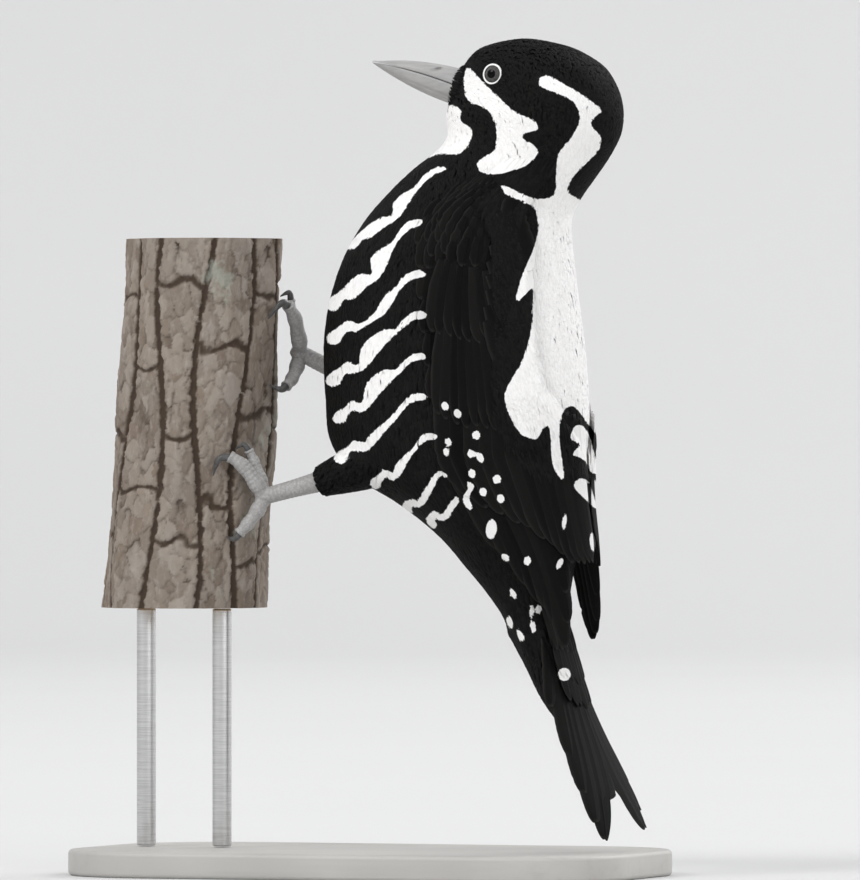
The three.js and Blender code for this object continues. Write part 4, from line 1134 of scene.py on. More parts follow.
def make_coat():
    draw = np.random.RandomState(41)
    grown = [tufts(coat_roots(draw), draw)] + [shoulder_tufts(side, draw) for _, side in SIDES]
    on_wing = np.concatenate([np.full(len(part["root"]), i > 0) for i, part in enumerate(grown)])
    lines = {key: np.concatenate([part[key] for part in grown]) for key in grown[0]}
    root, middle, tip = lines["root"], lines["middle"], lines["tip"]
    count = len(root)
    along = (middle, lerp(middle, tip, 0.5), tip)
    inside = np.array([whiteness(points) for points in along])
    marked = (np.abs(inside).min(0) < EDGE_NEAR) | (inside.min(0) * inside.max(0) < 0)
    groups = ((BLACK, ~marked & (inside[-1] <= 0)), (WHITE, ~marked & (inside[-1] > 0)), (MARKED, marked))
    jitter = draw.normal(0, EDGE_JITTER, (count, 1))
    chance = draw.uniform(size=(count, 1))
    centre = body.section(root[:, 2])[1:3].mean(0)
    angle = np.arctan2(np.abs(root[:, 1]), root[:, 0] - centre) / math.pi
    for band, low, high in COAT_BANDS:
        for side_name, side in SIDES:
            mine = (root[:, 2] >= low) & (root[:, 2] < high) & ((root[:, 1] > 0) == (side > 0))
            mine &= on_wing == (band == "scapulars")
            bottom, rise = root[mine, 2].min(), np.ptp(root[mine, 2])
            solids, values, patches = [], [], []
            for shares, group in groups:
                these = mine & group
                if not these.any():
                    continue
                points, barb = tuft_shape(shares, **{key: line[these] for key, line in lines.items()})
                white = whiteness(points.reshape(-1, 3)).reshape(barb.shape) + jitter[these]
                values.append(np.stack([white, barb, chance[these] + 0 * barb]).reshape(3, -1))
                solids.append((points.reshape(-1, 3), tuft_faces(these.sum(), shares)))
                spot = np.stack([angle[these], (root[these, 2] - bottom) / rise], 1) * 0.98 + 0.01
                patches.append(tuft_patches(spot, shares))
            places, faces = joined(solids)
            coat = piece_of(
                f"coat_{band}_{side_name}", places, outward(places, faces), soft_feathers, False
            )
            white, barb, tint = np.concatenate(values, 1)
            set_values(coat, white=white, barb=barb, chance=tint)
            set_unwrap(coat, np.concatenate(patches))


# ---------------- flight feathers
TIP_CROWDING = 1.35  # how much closer a vane's rows of points are at its tip
ROOT_WIDTH, WIDE_FROM = 0.62, 0.35  # share of the width at the root, and where it is fully wide
TIP_ROUND = 2.2  # 2 is an ellipse
SHAFT_WIDTH = 0.05  # of the half-width
SHAFT_ABOVE, SHAFT_BELOW = 0.16, 0.08  # how far it stands out of the vane
BARB_SLANT = 1.1
FRAY = 0.012  # of the half-width
MOST_GAPS = 2  # between the barbs of one edge
GAP_HALF = 0.5  # half of a gap's length
GAPS_FROM_TO = (0.35, 0.97)  # shares of the vane's length
GAP_DEPTHS = (0.08, 0.2)  # of the half-width
WEAR = (0.76, 0.82)  # where along a feather the wear begins and is complete
VANE_ACROSS = np.array([-1, -0.93, -0.75, -0.52, -0.28, -0.07, 0, 0.07, 0.28, 0.52, 0.75, 0.93, 1])
UNDER = slice(None, None, -3)  # the under side's points, of those of the upper side


def sideways_steps(point, middle, shares, lift):
    """Places (a, b) along a vane's middle, and the steps of a and b that go 1 mm square to it."""
    nudge = 1e-3
    a, b = middle(shares)
    here = point(a, b, lift)
    before = point(*middle(np.maximum(shares - nudge, 0)), lift)
    after = point(*middle(np.minimum(shares + nudge, 1)), lift)
    by_a = (point(a + nudge, b, lift) - here) / nudge
    by_b = (point(a, b + nudge, lift) - here) / nudge
    sideways = np.cross(unit(np.cross(by_a, by_b)), unit(after - before))
    aa, ab, bb = (by_a**2).sum(1), (by_a * by_b).sum(1), (by_b**2).sum(1)
    ya, yb = (by_a * sideways).sum(1), (by_b * sideways).sum(1)
    det = aa * bb - ab * ab
    return a, b, (ya * bb - yb * ab) / det, (yb * aa - ya * ab) / det


def frayed(draw, runs, long):
    """How far out each of a vane's points is, as a share: less where barbs are parted at its edges."""
    reach = np.ones((len(runs), len(VANE_ACROSS)))
    for side in (-1, 1):
        outer = VANE_ACROSS * side > 0.5
        fray = FRAY * draw.normal(size=len(runs))
        for _ in range(draw.randint(0, MOST_GAPS + 1)):
            gap = draw.uniform(*GAPS_FROM_TO) * long
            fray = fray - draw.uniform(*GAP_DEPTHS) * np.exp(-(((runs - gap) / GAP_HALF) ** 2))
        reach[:, outer] += fray[:, None] * ((np.abs(VANE_ACROSS[outer]) - 0.5) / 0.5)
    return reach


class Vanes:
    """Many separate feather vanes gathered into one mesh."""

    def __init__(self):
        self.solids, self.unwrap = [], []
        self.values = {"barb": [], "chance": [], "rim": []}

    def gather(self, rings, unwrap, **values):
        """Adds a closed solid, with the OFBake place and the numbers for each of its points."""
        self.solids.append(capped(rings))
        self.unwrap.append(unwrap)
        for name, numbers in values.items():
            self.values[name].append(numbers)

    def add(self, draw, point, root, tip, half_width, lift, tilt, thick, shoulder,
            splay=1.0, shaft=0.0, camber=0.3, step=0.7, blunt=0.1, worn=0.0):
        """One vane on the surface point(a, b, lift), its middle running from root to tip, both (a, b).
        It narrows past its shoulder. The shaft lies at a share of the half-width from the middle. A worn
        vane has lost that share of one edge near its tip; the sign says which edge."""
        long = np.linalg.norm(point(*tip, 0.0) - point(*root, 0.0))
        shares = 1 - (1 - np.linspace(0, 1, max(int(long / step), 10))) ** TIP_CROWDING

        def middle(share):
            return lerp(root[0], tip[0], share), lerp(root[1], tip[1], share**splay)

        past = np.clip((shares - shoulder) / (1 - shoulder), 0, 1)
        width = half_width * np.where(
            shares < shoulder,
            lerp(ROOT_WIDTH, 1, np.minimum(1, shares / WIDE_FROM)),
            np.maximum(blunt, np.sqrt(np.clip(1 - past**TIP_ROUND, 0, 1))),
        )
        across = VANE_ACROSS
        at_shaft = np.abs(across) < 0.1
        edge = np.where(at_shaft, across, across + shaft * (1 - np.abs(across)))
        edge = edge + shaft * at_shaft
        reach = frayed(draw, shares * long, long)
        reach *= 1 - abs(worn) * (edge * worn > 0) * smooth(*WEAR, shares)[:, None]
        spread = width[:, None] * edge * reach
        a, b, to_a, to_b = (part[:, None] for part in sideways_steps(point, middle, shares, lift))
        is_shaft = np.exp(-((across / SHAFT_WIDTH) ** 2)) * (1 - 0.7 * shares[:, None])
        arch = camber * (1 - edge**2) * (width / half_width)[:, None]
        level = lift + tilt * edge + arch
        half_thick = thick * (0.5 - 0.3 * np.abs(across) ** 2) * (1 - 0.35 * shares[:, None])
        a, b = a + to_a * spread, b + to_b * spread
        top = point(a, b, level + half_thick + SHAFT_ABOVE * is_shaft)
        under = point(a, b, level - half_thick - SHAFT_BELOW * is_shaft)

        def all_round(upper, at_ends):
            return np.concatenate([np.concatenate([upper, upper[:, UNDER]], 1).ravel(), at_ends])

        runs = (shares * long)[:, None] - np.abs(spread - width[:, None] * shaft) * BARB_SLANT
        margin = np.maximum(np.abs(edge) ** 7, smooth(1 - 1.2 / long, 1, shares)[:, None])
        flat = np.stack(np.broadcast_arrays(
            np.concatenate([(edge + 1.1) / 4.6, 1 - (edge[UNDER] + 1.1) / 4.6]), shares[:, None]
        ), -1).reshape(-1, 2)
        self.gather(
            np.concatenate([top, under[:, UNDER]], 1),
            np.concatenate([flat, [[0.25, 0.0], [0.25, 1.0]]]),
            barb=all_round(runs, [0.0, long]),
            chance=np.full(len(flat) + 2, draw.uniform()),
            rim=all_round(margin, [0.0, 1.0]),
        )

    def piece(self, name, keep=None, seen=SEEN_BEYOND):
        """All the vanes as one piece. keep(points) moves points that would cross another piece."""
        places, faces = joined(self.solids)
        if keep is not None:
            places = keep(places)
        vanes = piece_of(name, places, outward(places, faces), firm_feathers)
        set_values(vanes, white=whiteness(places, seen))
        set_values(vanes, **{name: np.concatenate(numbers) for name, numbers in self.values.items()})
        columns = math.ceil(math.sqrt(len(self.unwrap)))
        cells = [
            (np.array([i % columns, i // columns]) + 0.04 + 0.92 * flat) / columns
            for i, flat in enumerate(self.unwrap)
        ]
        set_unwrap(vanes, np.concatenate(cells))
        return vanes


# Each tier of a folded wing, from the feathers beneath to those on top. roots holds the first and last
# feather's root and tips a line through all the tips, as height and angle from the middle of the back.
# The picture shows the far wing's tip, which lies a little differently.
WING_TIERS = [
    dict(count=9, roots=[(122, 80), (112, 52)],
         tips=[(88, 84), (80, 74), (73.5, 65), (68, 56), (63.4, 47.5), (77, 40)],
         far_tips=[(94, 82), (91, 74), (88, 66), (66.5, 56), (64.6, 50.5), (66.5, 42.5), (76, 37)],
         half_width=3.1, lift=0.95, far_lift=1.1, shoulder=0.74, shaft=-0.35),
    dict(count=13, roots=[(138, 80), (123, 16)],
         tips=[(103, 82), (98.5, 71), (95, 60), (91, 49), (87, 38.5), (84.5, 28), (84.5, 17), (85, 7)],
         far_tips=[(103, 82), (98.5, 71), (95, 60), (91, 49), (87, 38.5), (84.5, 28), (86, 17), (90, 7)],
         half_width=3.6, lift=1.5, far_lift=1.2, shoulder=0.66, shaft=-0.2),
    dict(count=11, roots=[(150, 80), (146, 52)],
         tips=[(124, 84), (121.5, 76), (120.5, 68), (120.5, 60), (122, 52), (126, 47)],
         half_width=2.7, lift=1.95, shoulder=0.6, shaft=-0.15),
    dict(count=10, roots=[(166, 82), (162, 56)],
         tips=[(147, 85), (144.5, 76), (143.5, 67), (144, 58), (147, 50)],
         half_width=2.8, lift=2.15, shoulder=0.5, shaft=0.0),
    dict(count=9, roots=[(182, 58), (150, 60)],
         tips=[(166, 40), (155, 41), (144, 43), (131, 50)],
         half_width=3.8, lift=2.35, shoulder=0.5, shaft=0.0),
]
VANE_THICK, COVERT_THICK = 0.5, 0.3
VANE_TILT = 0.34
ROOT_STRAY, TIP_STRAY = 0.3, (0.5, 0.4)  # in height and angle
# The arm under the feathers' roots: height, angles of its two edges, thickness.
ARM = [(188.4, 88, 76, 0.4), (186, 95, 68, 1.0), (180.5, 100, 58, 1.6), (170, 93, 50, 2.0),
       (158, 89, 50, 2.0), (146, 87, 50, 1.9), (134, 86, 52, 1.6), (123, 84, 58, 1.0)]
ARM_LIFT = 0.4
# Rows of small coverts over the arm: height of the row's roots, and how long its feathers are.
SMALL_COVERTS = [(171.5, 8.0), (174.2, 7.4), (176.9, 7.0), (179.4, 6.6), (181.8, 6.2), (184, 5.8), (186, 5.4),
                 (187.8, 5.0)]
IN_ROW = 8
EDGE_COVERTS = [(164, 9.0), (155, 9.0), (146, 9.0), (137, 8.5)]


def add_arm(side, vanes):
    """The arm itself: an upper side that is vaulted and an under side that is flat."""
    across, down = 24, 60
    share = np.concatenate([np.linspace(0, 1, across), np.linspace(1, 0, across)])
    on_top = np.arange(2 * across) < across
    heights = np.linspace(ARM[0][0], ARM[-1][0], down)[:, None]
    front, back, thick = at_height(ARM, heights)
    crown = np.sin(math.pi * np.clip(share, 0.06, 0.94)) * thick * on_top
    rings = wing_bed.point(heights, lerp(front, back, share), ARM_LIFT + crown + 0.1 * on_top, side)
    count = down * 2 * across + 2
    vanes.gather(
        rings, np.full((count, 2), 0.5), barb=np.append(np.repeat(rings[:, 0, 2], 2 * across), [0.0, 0.0]),
        chance=np.full(count, 0.4), rim=np.zeros(count),
    )


def small_coverts(side, vanes, point, draw):
    """The rounded feathers that cover the arm, in rows, and those along its front edge."""
    for row, (height, long) in enumerate(SMALL_COVERTS):
        front, back, thick = at_height(ARM, height)
        spacing = np.linalg.norm(point(height, front, 0.0) - point(height, back, 0.0)) / IN_ROW
        for i in range(IN_ROW + 1 - row % 2):
            share = (i + 0.5 * (row % 2)) / IN_ROW
            angle = lerp(front, back, share)
            crown = thick * math.sin(math.pi * min(max(share, 0.08), 0.92))
            vanes.add(
                draw, point, (height, angle),
                (height - long + draw.normal() * 0.35, angle + draw.normal() * 0.8),
                half_width=0.78 * spacing + 0.35, lift=ARM_LIFT + crown + 0.12 + 0.05 * draw.uniform(),
                tilt=side * 0.2, thick=COVERT_THICK, shoulder=0.3, camber=0.25, step=0.45,
            )
    for height, long in EDGE_COVERTS:
        front = at_height(ARM, height)[0]
        vanes.add(
            draw, point, (height, front - 1), (height - long, front - 0.5 + draw.normal() * 0.4),
            half_width=2.3, lift=ARM_LIFT + 0.5, tilt=side * 0.3, thick=COVERT_THICK, shoulder=0.5, step=0.5,
        )


WING_GAP = 0.15  # from the middle to each wing, where the two meet over the rump


def make_wing(side_name, side):
    draw = np.random.RandomState(60 + side)
    vanes = Vanes()
    far = "far_" if side == RIGHT else ""

    def point(height, angle, lift):
        return wing_bed.point(height, angle, lift, side)

    for tier in WING_TIERS:
        first, last = (np.array(root) for root in tier["roots"])
        count = tier["count"]
        tips, raised = (tier.get(far + key, tier[key]) for key in ("tips", "lift"))
        tips = evenly(tips, count)
        for i in range(count):
            root = lerp(first, last, i / (count - 1)) + draw.normal(size=2) * ROOT_STRAY
            tip = tips[i] + draw.normal(size=2) * TIP_STRAY
            vanes.add(
                draw, point, root, tip, half_width=tier["half_width"] * draw.uniform(0.96, 1.05),
                lift=raised, tilt=side * VANE_TILT, thick=VANE_THICK, shoulder=tier["shoulder"],
                shaft=side * tier["shaft"],
            )
    small_coverts(side, vanes, point, draw)
    add_arm(side, vanes)

    def on_own_side(places):
        places[:, 1] = np.where(places[:, 1] * side < WING_GAP, side * WING_GAP, places[:, 1])
        return places

    wing = vanes.piece("wing_" + side_name + "_feathers", on_own_side, WING_BEYOND)
    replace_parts(wing, "wing_" + side_name)


# From the middle pair outwards: distance from the middle at root and tip, how the change is put off,
# how much shorter than the longest, half-width, and how far along the point starts.
TAIL_FEATHERS = [(1.7, 12.6, 5, 1.0, 4.5, 0.84), (3.6, 14.4, 2.2, 1.4, 4.3, 0.8),
                 (5.6, 15.5, 1.5, 6.5, 3.9, 0.78), (7.0, 15.8, 1.3, 15, 3.4, 0.78),
                 (8.2, 14.9, 1.2, 25, 2.9, 0.76), (8.6, 12.2, 1.2, 40, 2.0, 0.7)]
RIGHT_SHORT = 1.3  # how much shorter the right half is
# How much farther out each half's tips are, and how much of the inner edges is worn off.
TAIL_SPREAD = {LEFT: (0.9, -0.5, 0, 0, 0.2, 3.6), RIGHT: (-0.7, -0.5, 0, 0, 0, 0)}
TAIL_WORN = {LEFT: (0.9, 0.85, 0, 0, 0, 0), RIGHT: (0.3, 0, 0, 0, 0, 0)}
TAIL_ROOT = 14.0  # how far down the tail's line the roots are
TAIL_LIFT, TAIL_STEP = -0.3, 0.12  # of the middle pair, and from one pair to the next beneath it
MIDDLE_TILT = 0.2  # of the middle pair, as a share of the others'
UPPER_COVERTS = [(2, 20, 6), (8, 28, 7), (14, 35, 6)]  # root and tip down the tail, how many
UPPER_COVERT_EDGES = (-8.8, 6.4)  # from the middle of the tail


def make_tail():
    draw = np.random.RandomState(5)
    vanes = Vanes()
    for side in (LEFT, RIGHT):
        for i, (root, tip, splay, short, half_width, shoulder) in enumerate(TAIL_FEATHERS):
            end = TAIL_LENGTH - short - (RIGHT_SHORT if side == RIGHT else 0) + draw.normal() * 0.2
            vanes.add(
                draw, tail_point, (TAIL_ROOT, side * root), (end, side * (tip + TAIL_SPREAD[side][i])),
                half_width=half_width, lift=TAIL_LIFT - TAIL_STEP * i + (TAIL_STEP if side == LEFT else 0),
                tilt=-side * VANE_TILT * (MIDDLE_TILT if i == 0 else 1), thick=VANE_THICK, shoulder=shoulder,
                splay=splay, shaft=side * -0.15, camber=0.35, blunt=0.08, worn=-side * TAIL_WORN[side][i],
            )
    for row, (root, tip, count) in enumerate(UPPER_COVERTS):
        for i in range(count):
            sideways = lerp(*UPPER_COVERT_EDGES, (i + 0.5) / count)
            end = tip - abs(sideways) * 0.3 + draw.normal() * 0.25
            vanes.add(
                draw, tail_point, (root, sideways * 0.9), (end, sideways * 1.08 + draw.normal() * 0.3),
                half_width=2.4, lift=1.5 - 0.38 * row, tilt=0.12 * np.sign(sideways), thick=COVERT_THICK,
                shoulder=0.6, step=0.5,
            )
    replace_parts(vanes.piece("tail_feathers"), "tail")


# ---------------- eyes
PUPIL_TURN = 0.72  # how far the eye turns from the head's surface to straight sideways
RING_RADIUS = 2.52
RING_THICK = 0.3
RING_SCALES = 26
CORNEA_RISE, CORNEA_WIDTH = 0.03, 34  # share of the radius, and degrees from the middle of the pupil
BALL_STEPS = 96


def eye_axis(side):
    """Where an eye looks: between straight out of the plumage and straight sideways."""
    _, normal = on_skin(EYES[side][None])
    return unit(lerp(normal[0], np.array([0.0, side, 0.0]), PUPIL_TURN))


def round_eye(side, radius, turn, ahead):
    """Points round the direction in which an eye looks, at a distance ahead of its middle."""
    axis = eye_axis(side)
    right = unit(np.cross(axis, [0.0, 0.0, 1.0]))
    up = np.cross(axis, right)
    radius, turn, ahead = (part[..., None] for part in np.broadcast_arrays(radius, turn, ahead))
    return EYES[side] + (ahead * axis + radius * np.cos(turn) * right + radius * np.sin(turn) * up)


def make_eye(side_name, side):
    fall = np.linspace(0.002, math.pi - 0.002, BALL_STEPS // 2)[:, None]
    cornea = 1 + CORNEA_RISE * np.exp(-((np.degrees(fall) / CORNEA_WIDTH) ** 2))
    radius = EYE_RADIUS * cornea
    rings = round_eye(side, radius * np.sin(fall), circle(BALL_STEPS), radius * np.cos(fall))
    ball = closed_piece("eyeball_" + side_name, rings, eyeball)
    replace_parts(ball, "eye_" + side_name)
    angle = np.degrees(np.repeat(fall, BALL_STEPS, 1)).ravel()
    set_values(ball, from_pupil=np.append(angle, [0, 180]))


def make_eye_ring(side_name, side):
    """The ring of white scales round the eye, with the dark edge of the lids inside it."""
    rows, columns = 160, 28
    turn, roll = circle(rows)[:, None], circle(columns)
    scales = 1 + 0.10 * np.abs(np.sin(turn * RING_SCALES / 2)) * np.clip(np.cos(roll - 0.9), 0, 1)
    thick = RING_THICK * scales
    ahead = math.sqrt(EYE_RADIUS**2 - RING_RADIUS**2) + 0.25 + thick * np.sin(roll) * 1.25
    places = round_eye(side, RING_RADIUS + thick * np.cos(roll), turn, ahead).reshape(-1, 3)
    faces = ring_faces(rows + 1, columns) % (rows * columns)
    ring = piece_of("eye_ring_" + side_name, places, outward(places, [faces]), soft_feathers)
    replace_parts(ring, "head")
    is_lid = np.cos(roll) * np.ones((rows, 1)) < -0.72
    set_values(
        ring,
        white=np.where(is_lid, -1.0, 1.0).ravel(),
        barb=(turn * RING_RADIUS * np.ones(columns)).ravel(),
        chance=np.full(rows * columns, 0.9),
    )


# ---------------- bill
BILL_ROWS = 120
BILL_STARTS, BILL_ENDS = 0.004, 1.16  # shares of its length. It ends inside the head.
MOUTH_GAP = 0.12  # from the mouth's line to each half of the bill
NOSTRIL = (0.83, 2.5)  # share of the bill's length, and height over the mouth
NOSTRIL_LONG, NOSTRIL_HIGH, NOSTRIL_DEEP, NOSTRIL_SLOPE = 1.5, 0.42, 1.1, 0.25


def bill_rings(upper):
    """Rings round one half of the bill: a dome with a keel and a groove, and a slightly hollow side."""
    at = np.linspace(BILL_STARTS, BILL_ENDS, BILL_ROWS)[:, None]
    tip = np.sqrt(np.clip(at / 0.03, 0, 1))  # rounds the very tip
    half_width = bill_half_width(at) * (0.35 + 0.65 * tip)
    foot = mouth(at) + (MOUTH_GAP if upper else -MOUTH_GAP)
    rise = np.maximum(ridge(at) - foot, 0.35) if upper else -np.maximum(foot - keel(at), 0.35)
    rise = rise * (0.4 + 0.6 * tip)
    turn = np.linspace(0, math.pi, 41)
    side = np.cos(turn)
    dome = np.sin(turn) ** 0.85
    keeled = 0.93 * dome + 0.07 * np.exp(-((side / 0.14) ** 2))
    groove = 0.05 * np.exp(-(((np.abs(side) - 0.72) / 0.09) ** 2)) * smooth(0.25, 0.6, at)
    over_y = half_width * side * (1 - groove)
    over_z = foot + rise * keeled * (1 - groove)
    hollow = np.linspace(-1, 1, 13)[1:-1]
    under_y = half_width * hollow * 0.98
    under_z = foot + rise * 0.10 * (1 - hollow**2)
    y = np.concatenate([over_y, under_y], 1)
    z = np.concatenate([over_z, under_z], 1)
    x = BILL_TIP[0] + BILL_LENGTH * at * np.ones(y.shape[1])
    if upper:
        along, level = x - (BILL_TIP[0] + BILL_LENGTH * NOSTRIL[0]), z - (mouth(NOSTRIL[0]) + NOSTRIL[1])
        turned_along, turned_level = along + level * NOSTRIL_SLOPE, level - along * NOSTRIL_SLOPE
        away = (turned_along / NOSTRIL_LONG) ** 2 + (turned_level / NOSTRIL_HIGH) ** 2
        y = y - np.sign(y) * NOSTRIL_DEEP * np.exp(-(away**1.5)) * (np.abs(y) > 0.8)
    return np.stack([x, y, z], -1)


def make_bill():
    for name, upper in (("upper", True), ("lower", False)):
        horn = closed_piece("mandible_" + name, bill_rings(upper), bill_horn)
        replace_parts(horn, "bill_" + name)


BRISTLES = 520
BRISTLE_HALF_WIDTH = 0.2
BRISTLE_EDGE = (23.7, 208.3, 0.31)  # where they end: x at a height, and how x grows with height


def on_bill(x, turn, lift):
    """Points round the bill at x, by the angle from its left side over the ridge."""
    at = (x - BILL_TIP[0]) / BILL_LENGTH
    sine = np.sin(turn)
    rise = np.where(sine > 0, ridge(at) - mouth(at), mouth(at) - keel(at)) + lift
    z = mouth(at) + rise * np.sign(sine) * np.abs(sine) ** 0.85
    return np.stack([x, (bill_half_width(at) + lift) * np.cos(turn), z], 1)


def make_bristles():
    """Fine feathers at the bill's root that point forwards over the nostrils and the chin."""
    draw = np.random.RandomState(17)
    turn = draw.uniform(0, 2 * math.pi, BRISTLES)
    start, height, slope = BRISTLE_EDGE
    level = on_bill(np.full(BRISTLES, start + 1), turn, 0.0)[:, 2]
    ahead = start + slope * (level - height) + draw.uniform(-0.45, 0.7, BRISTLES)
    long = draw.uniform(2.4, 3.8, BRISTLES)
    roots, normals = on_skin(on_bill(ahead + long, turn, 0.6))
    away = unit(np.stack([0 * turn, np.cos(turn), np.sin(turn)], 1))
    tips = on_bill(ahead, turn + draw.normal(0, 0.06, BRISTLES), 0.22)
    centre = (roots + tips) / 2 + away * 0.5
    roots = roots - normals * ROOT_SUNK
    half = np.full(BRISTLES, BRISTLE_HALF_WIDTH)
    places, barb = tuft_shape(MARKED, roots, centre, tips, away, away, away, half, long)
    points = places.reshape(-1, 3)
    bristles = piece_of(
        "bill_bristles", points, tuft_faces(BRISTLES, MARKED), soft_feathers, False
    )
    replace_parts(bristles, "head")
    set_values(
        bristles, white=whiteness(points), barb=barb.ravel(),
        chance=np.repeat(draw.uniform(size=BRISTLES), barb.shape[1]),
    )
    spot = 0.02 + 0.96 * np.stack([turn / (2 * math.pi), (ahead - ahead.min()) / np.ptp(ahead)], 1)
    set_unwrap(bristles, tuft_patches(spot, MARKED))


# ---------------- perch
PERCH_RADIUS = 21.5
PERCH_MIDDLE = 122  # a height
PERCH_LEAN = 0.064
PERCH_BOTTOM, PERCH_TOP = (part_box("perch")[k].z / MM for k in (0, 1))
BARK_SWELL = 0.55


def perch_x(height):
    return -50.6 + PERCH_LEAN * (height - PERCH_MIDDLE)


def bark_radius(angle, height):
    plates = np.sin(7 * angle + 0.05 * height) + 0.6 * np.sin(4 * angle - 0.11 * height + 1)
    return PERCH_RADIUS + BARK_SWELL * plates - 0.012 * (height - PERCH_MIDDLE)


def bark_point(place):
    """A point round the trunk: angle from the side that faces the bird, lift off the bark, height."""
    angle, lift, height = math.radians(place[0]), place[1], place[2]
    return round_trunk(bark_radius(angle, height) + lift, angle, height)


def round_trunk(radius, angle, height):
    return np.stack([perch_x(height) + radius * np.cos(angle), radius * np.sin(angle), height], -1)


# Wandering furrows part the bark into ribs, and cracks across the ribs part it into plates.
RIBS = 11
WANDER = 0.2  # of a rib's width
FURROW, FURROW_DEPTH = 1.3, 0.9  # half-width and depth
CRACK = 1.4  # half-width
CRACKS = (88, 105, 122, 139, 156)  # heights, from which each rib's own cracks drift
DRIFT = 4.5
FLAKES = 900
FLAKE_CHUNKS = 60  # in which the bark's points are measured
FLAKE_STRETCH = 0.6  # how much narrower than high the flakes are
FLAKE_EDGE = 0.26  # how deep the gaps between flakes are
BARK_COLUMNS, BARK_ROWS = 312, 240


def furrow_angle(rib, height):
    """Where the furrow before a rib of bark runs, in degrees round the trunk."""
    return (rib + WANDER * np.sin(0.06 * height + 6 * math.pi * rib / RIBS)) / RIBS * 360


def furrows(angle, height, ragged, wander):
    """How deep the furrows and cracks are: 0 on the plates of bark and -1 at the deepest."""
    degrees = np.degrees(angle)
    relief = np.zeros(angle.shape)
    for rib in range(RIBS):
        start, end = furrow_angle(rib, height), furrow_angle(rib + 1, height)
        offset = (degrees - start) % 360
        inside = offset < end - start
        edge = np.radians(np.minimum(offset, end - start - offset)) * PERCH_RADIUS
        depth = smooth(FURROW, 0.1, edge + 0.4 * ragged)
        for level, crack in enumerate(CRACKS):
            if (rib + level) % 2 == 0:
                away = height - crack - DRIFT * math.sin(2.4 * rib + 1.9 * level) + wander
                depth = np.maximum(depth, 0.7 * smooth(CRACK, 0.1, np.abs(away)))
        relief = np.where(inside, -depth, relief)
    return relief


def flakes(angle, height, ragged):
    """Thin flakes on the plates, each a little tilted, with low gaps between: their relief and tones."""
    draw = np.random.RandomState(29)
    girth = 2 * math.pi * PERCH_RADIUS
    spots = np.stack([draw.uniform(0, girth, FLAKES), draw.uniform(PERCH_BOTTOM, PERCH_TOP, FLAKES)], 1)
    spots[:, 1] *= FLAKE_STRETCH
    rise = draw.uniform(-0.14, 0.12, FLAKES)
    lean = draw.normal(0, 0.04, (FLAKES, 2))
    tone = draw.uniform(size=FLAKES)
    places = np.stack([
        (angle * PERCH_RADIUS + 0.6 * ragged).ravel(),
        (height * FLAKE_STRETCH + 0.5 * np.sin(angle * 23 + height * 0.4)).ravel(),
    ], 1)
    relief, tones = [], []
    for chunk in np.array_split(places, FLAKE_CHUNKS):
        offset = chunk[:, None] - spots
        offset[..., 0] -= girth * np.round(offset[..., 0] / girth)
        far = np.linalg.norm(offset, axis=-1)
        order = np.argpartition(far, 1, axis=1)[:, :2]
        near = np.take_along_axis(far, order, 1)
        mine = order[np.arange(len(chunk)), near.argmin(1)]
        gap = smooth(0.75, 0.0, near.max(1) - near.min(1))
        slope = (offset[np.arange(len(chunk)), mine] * lean[mine]).sum(1)
        relief.append(rise[mine] + slope - FLAKE_EDGE * gap)
        tones.append(tone[mine])
    return np.concatenate(relief).reshape(angle.shape), np.concatenate(tones)


def make_perch():
    angle, height = np.meshgrid(circle(BARK_COLUMNS), np.linspace(PERCH_BOTTOM, PERCH_TOP, BARK_ROWS))
    smooth_trunk = np.stack([np.cos(angle) * PERCH_RADIUS, np.sin(angle) * PERCH_RADIUS, height], -1)
    flat = smooth_trunk.reshape(-1, 3)
    ragged = (ripple(flat, 3.2, 9) + 0.6 * ripple(flat, 1.3, 12)).reshape(angle.shape)
    wander = (1.6 * ripple(flat, 9, 21)).reshape(angle.shape) + 0.25 * ragged
    relief = furrows(angle, height, ragged, wander)
    scales, tone = flakes(angle, height, ragged)
    rough = 0.05 * ripple(flat, 1.6, 4) + 0.09 * ripple(flat * np.array([1, 1, 0.4]), 6, 6)
    fine = (scales + rough.reshape(angle.shape)) * (1 + 0.7 * relief)
    radius = bark_radius(angle, height) + FURROW_DEPTH * relief + fine - 0.05
    rings = round_trunk(radius, angle, height)
    faces = ring_faces(BARK_ROWS, BARK_COLUMNS)
    bark = piece_of("trunk_bark", rings.reshape(-1, 3), faces, bark_material())
    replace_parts(bark, "perch")
    set_values(bark, depth=(relief + fine).ravel(), tone=tone)
    make_trunk_end("top", rings[-1], 1)
    make_trunk_end("bottom", rings[0], -1)


# Rings of a sawn end, as shares of the way out from its middle. The inner ones are sunk a little.
END_SHARES = np.array([1.0, 0.997, 0.985, 0.97, 0.9, 0.8, 0.7, 0.6, 0.5, 0.4, 0.3, 0.2, 0.1, 0.02])
END_RIM, END_SUNK, SAW_MARKS = 0.98, 0.12, 0.03


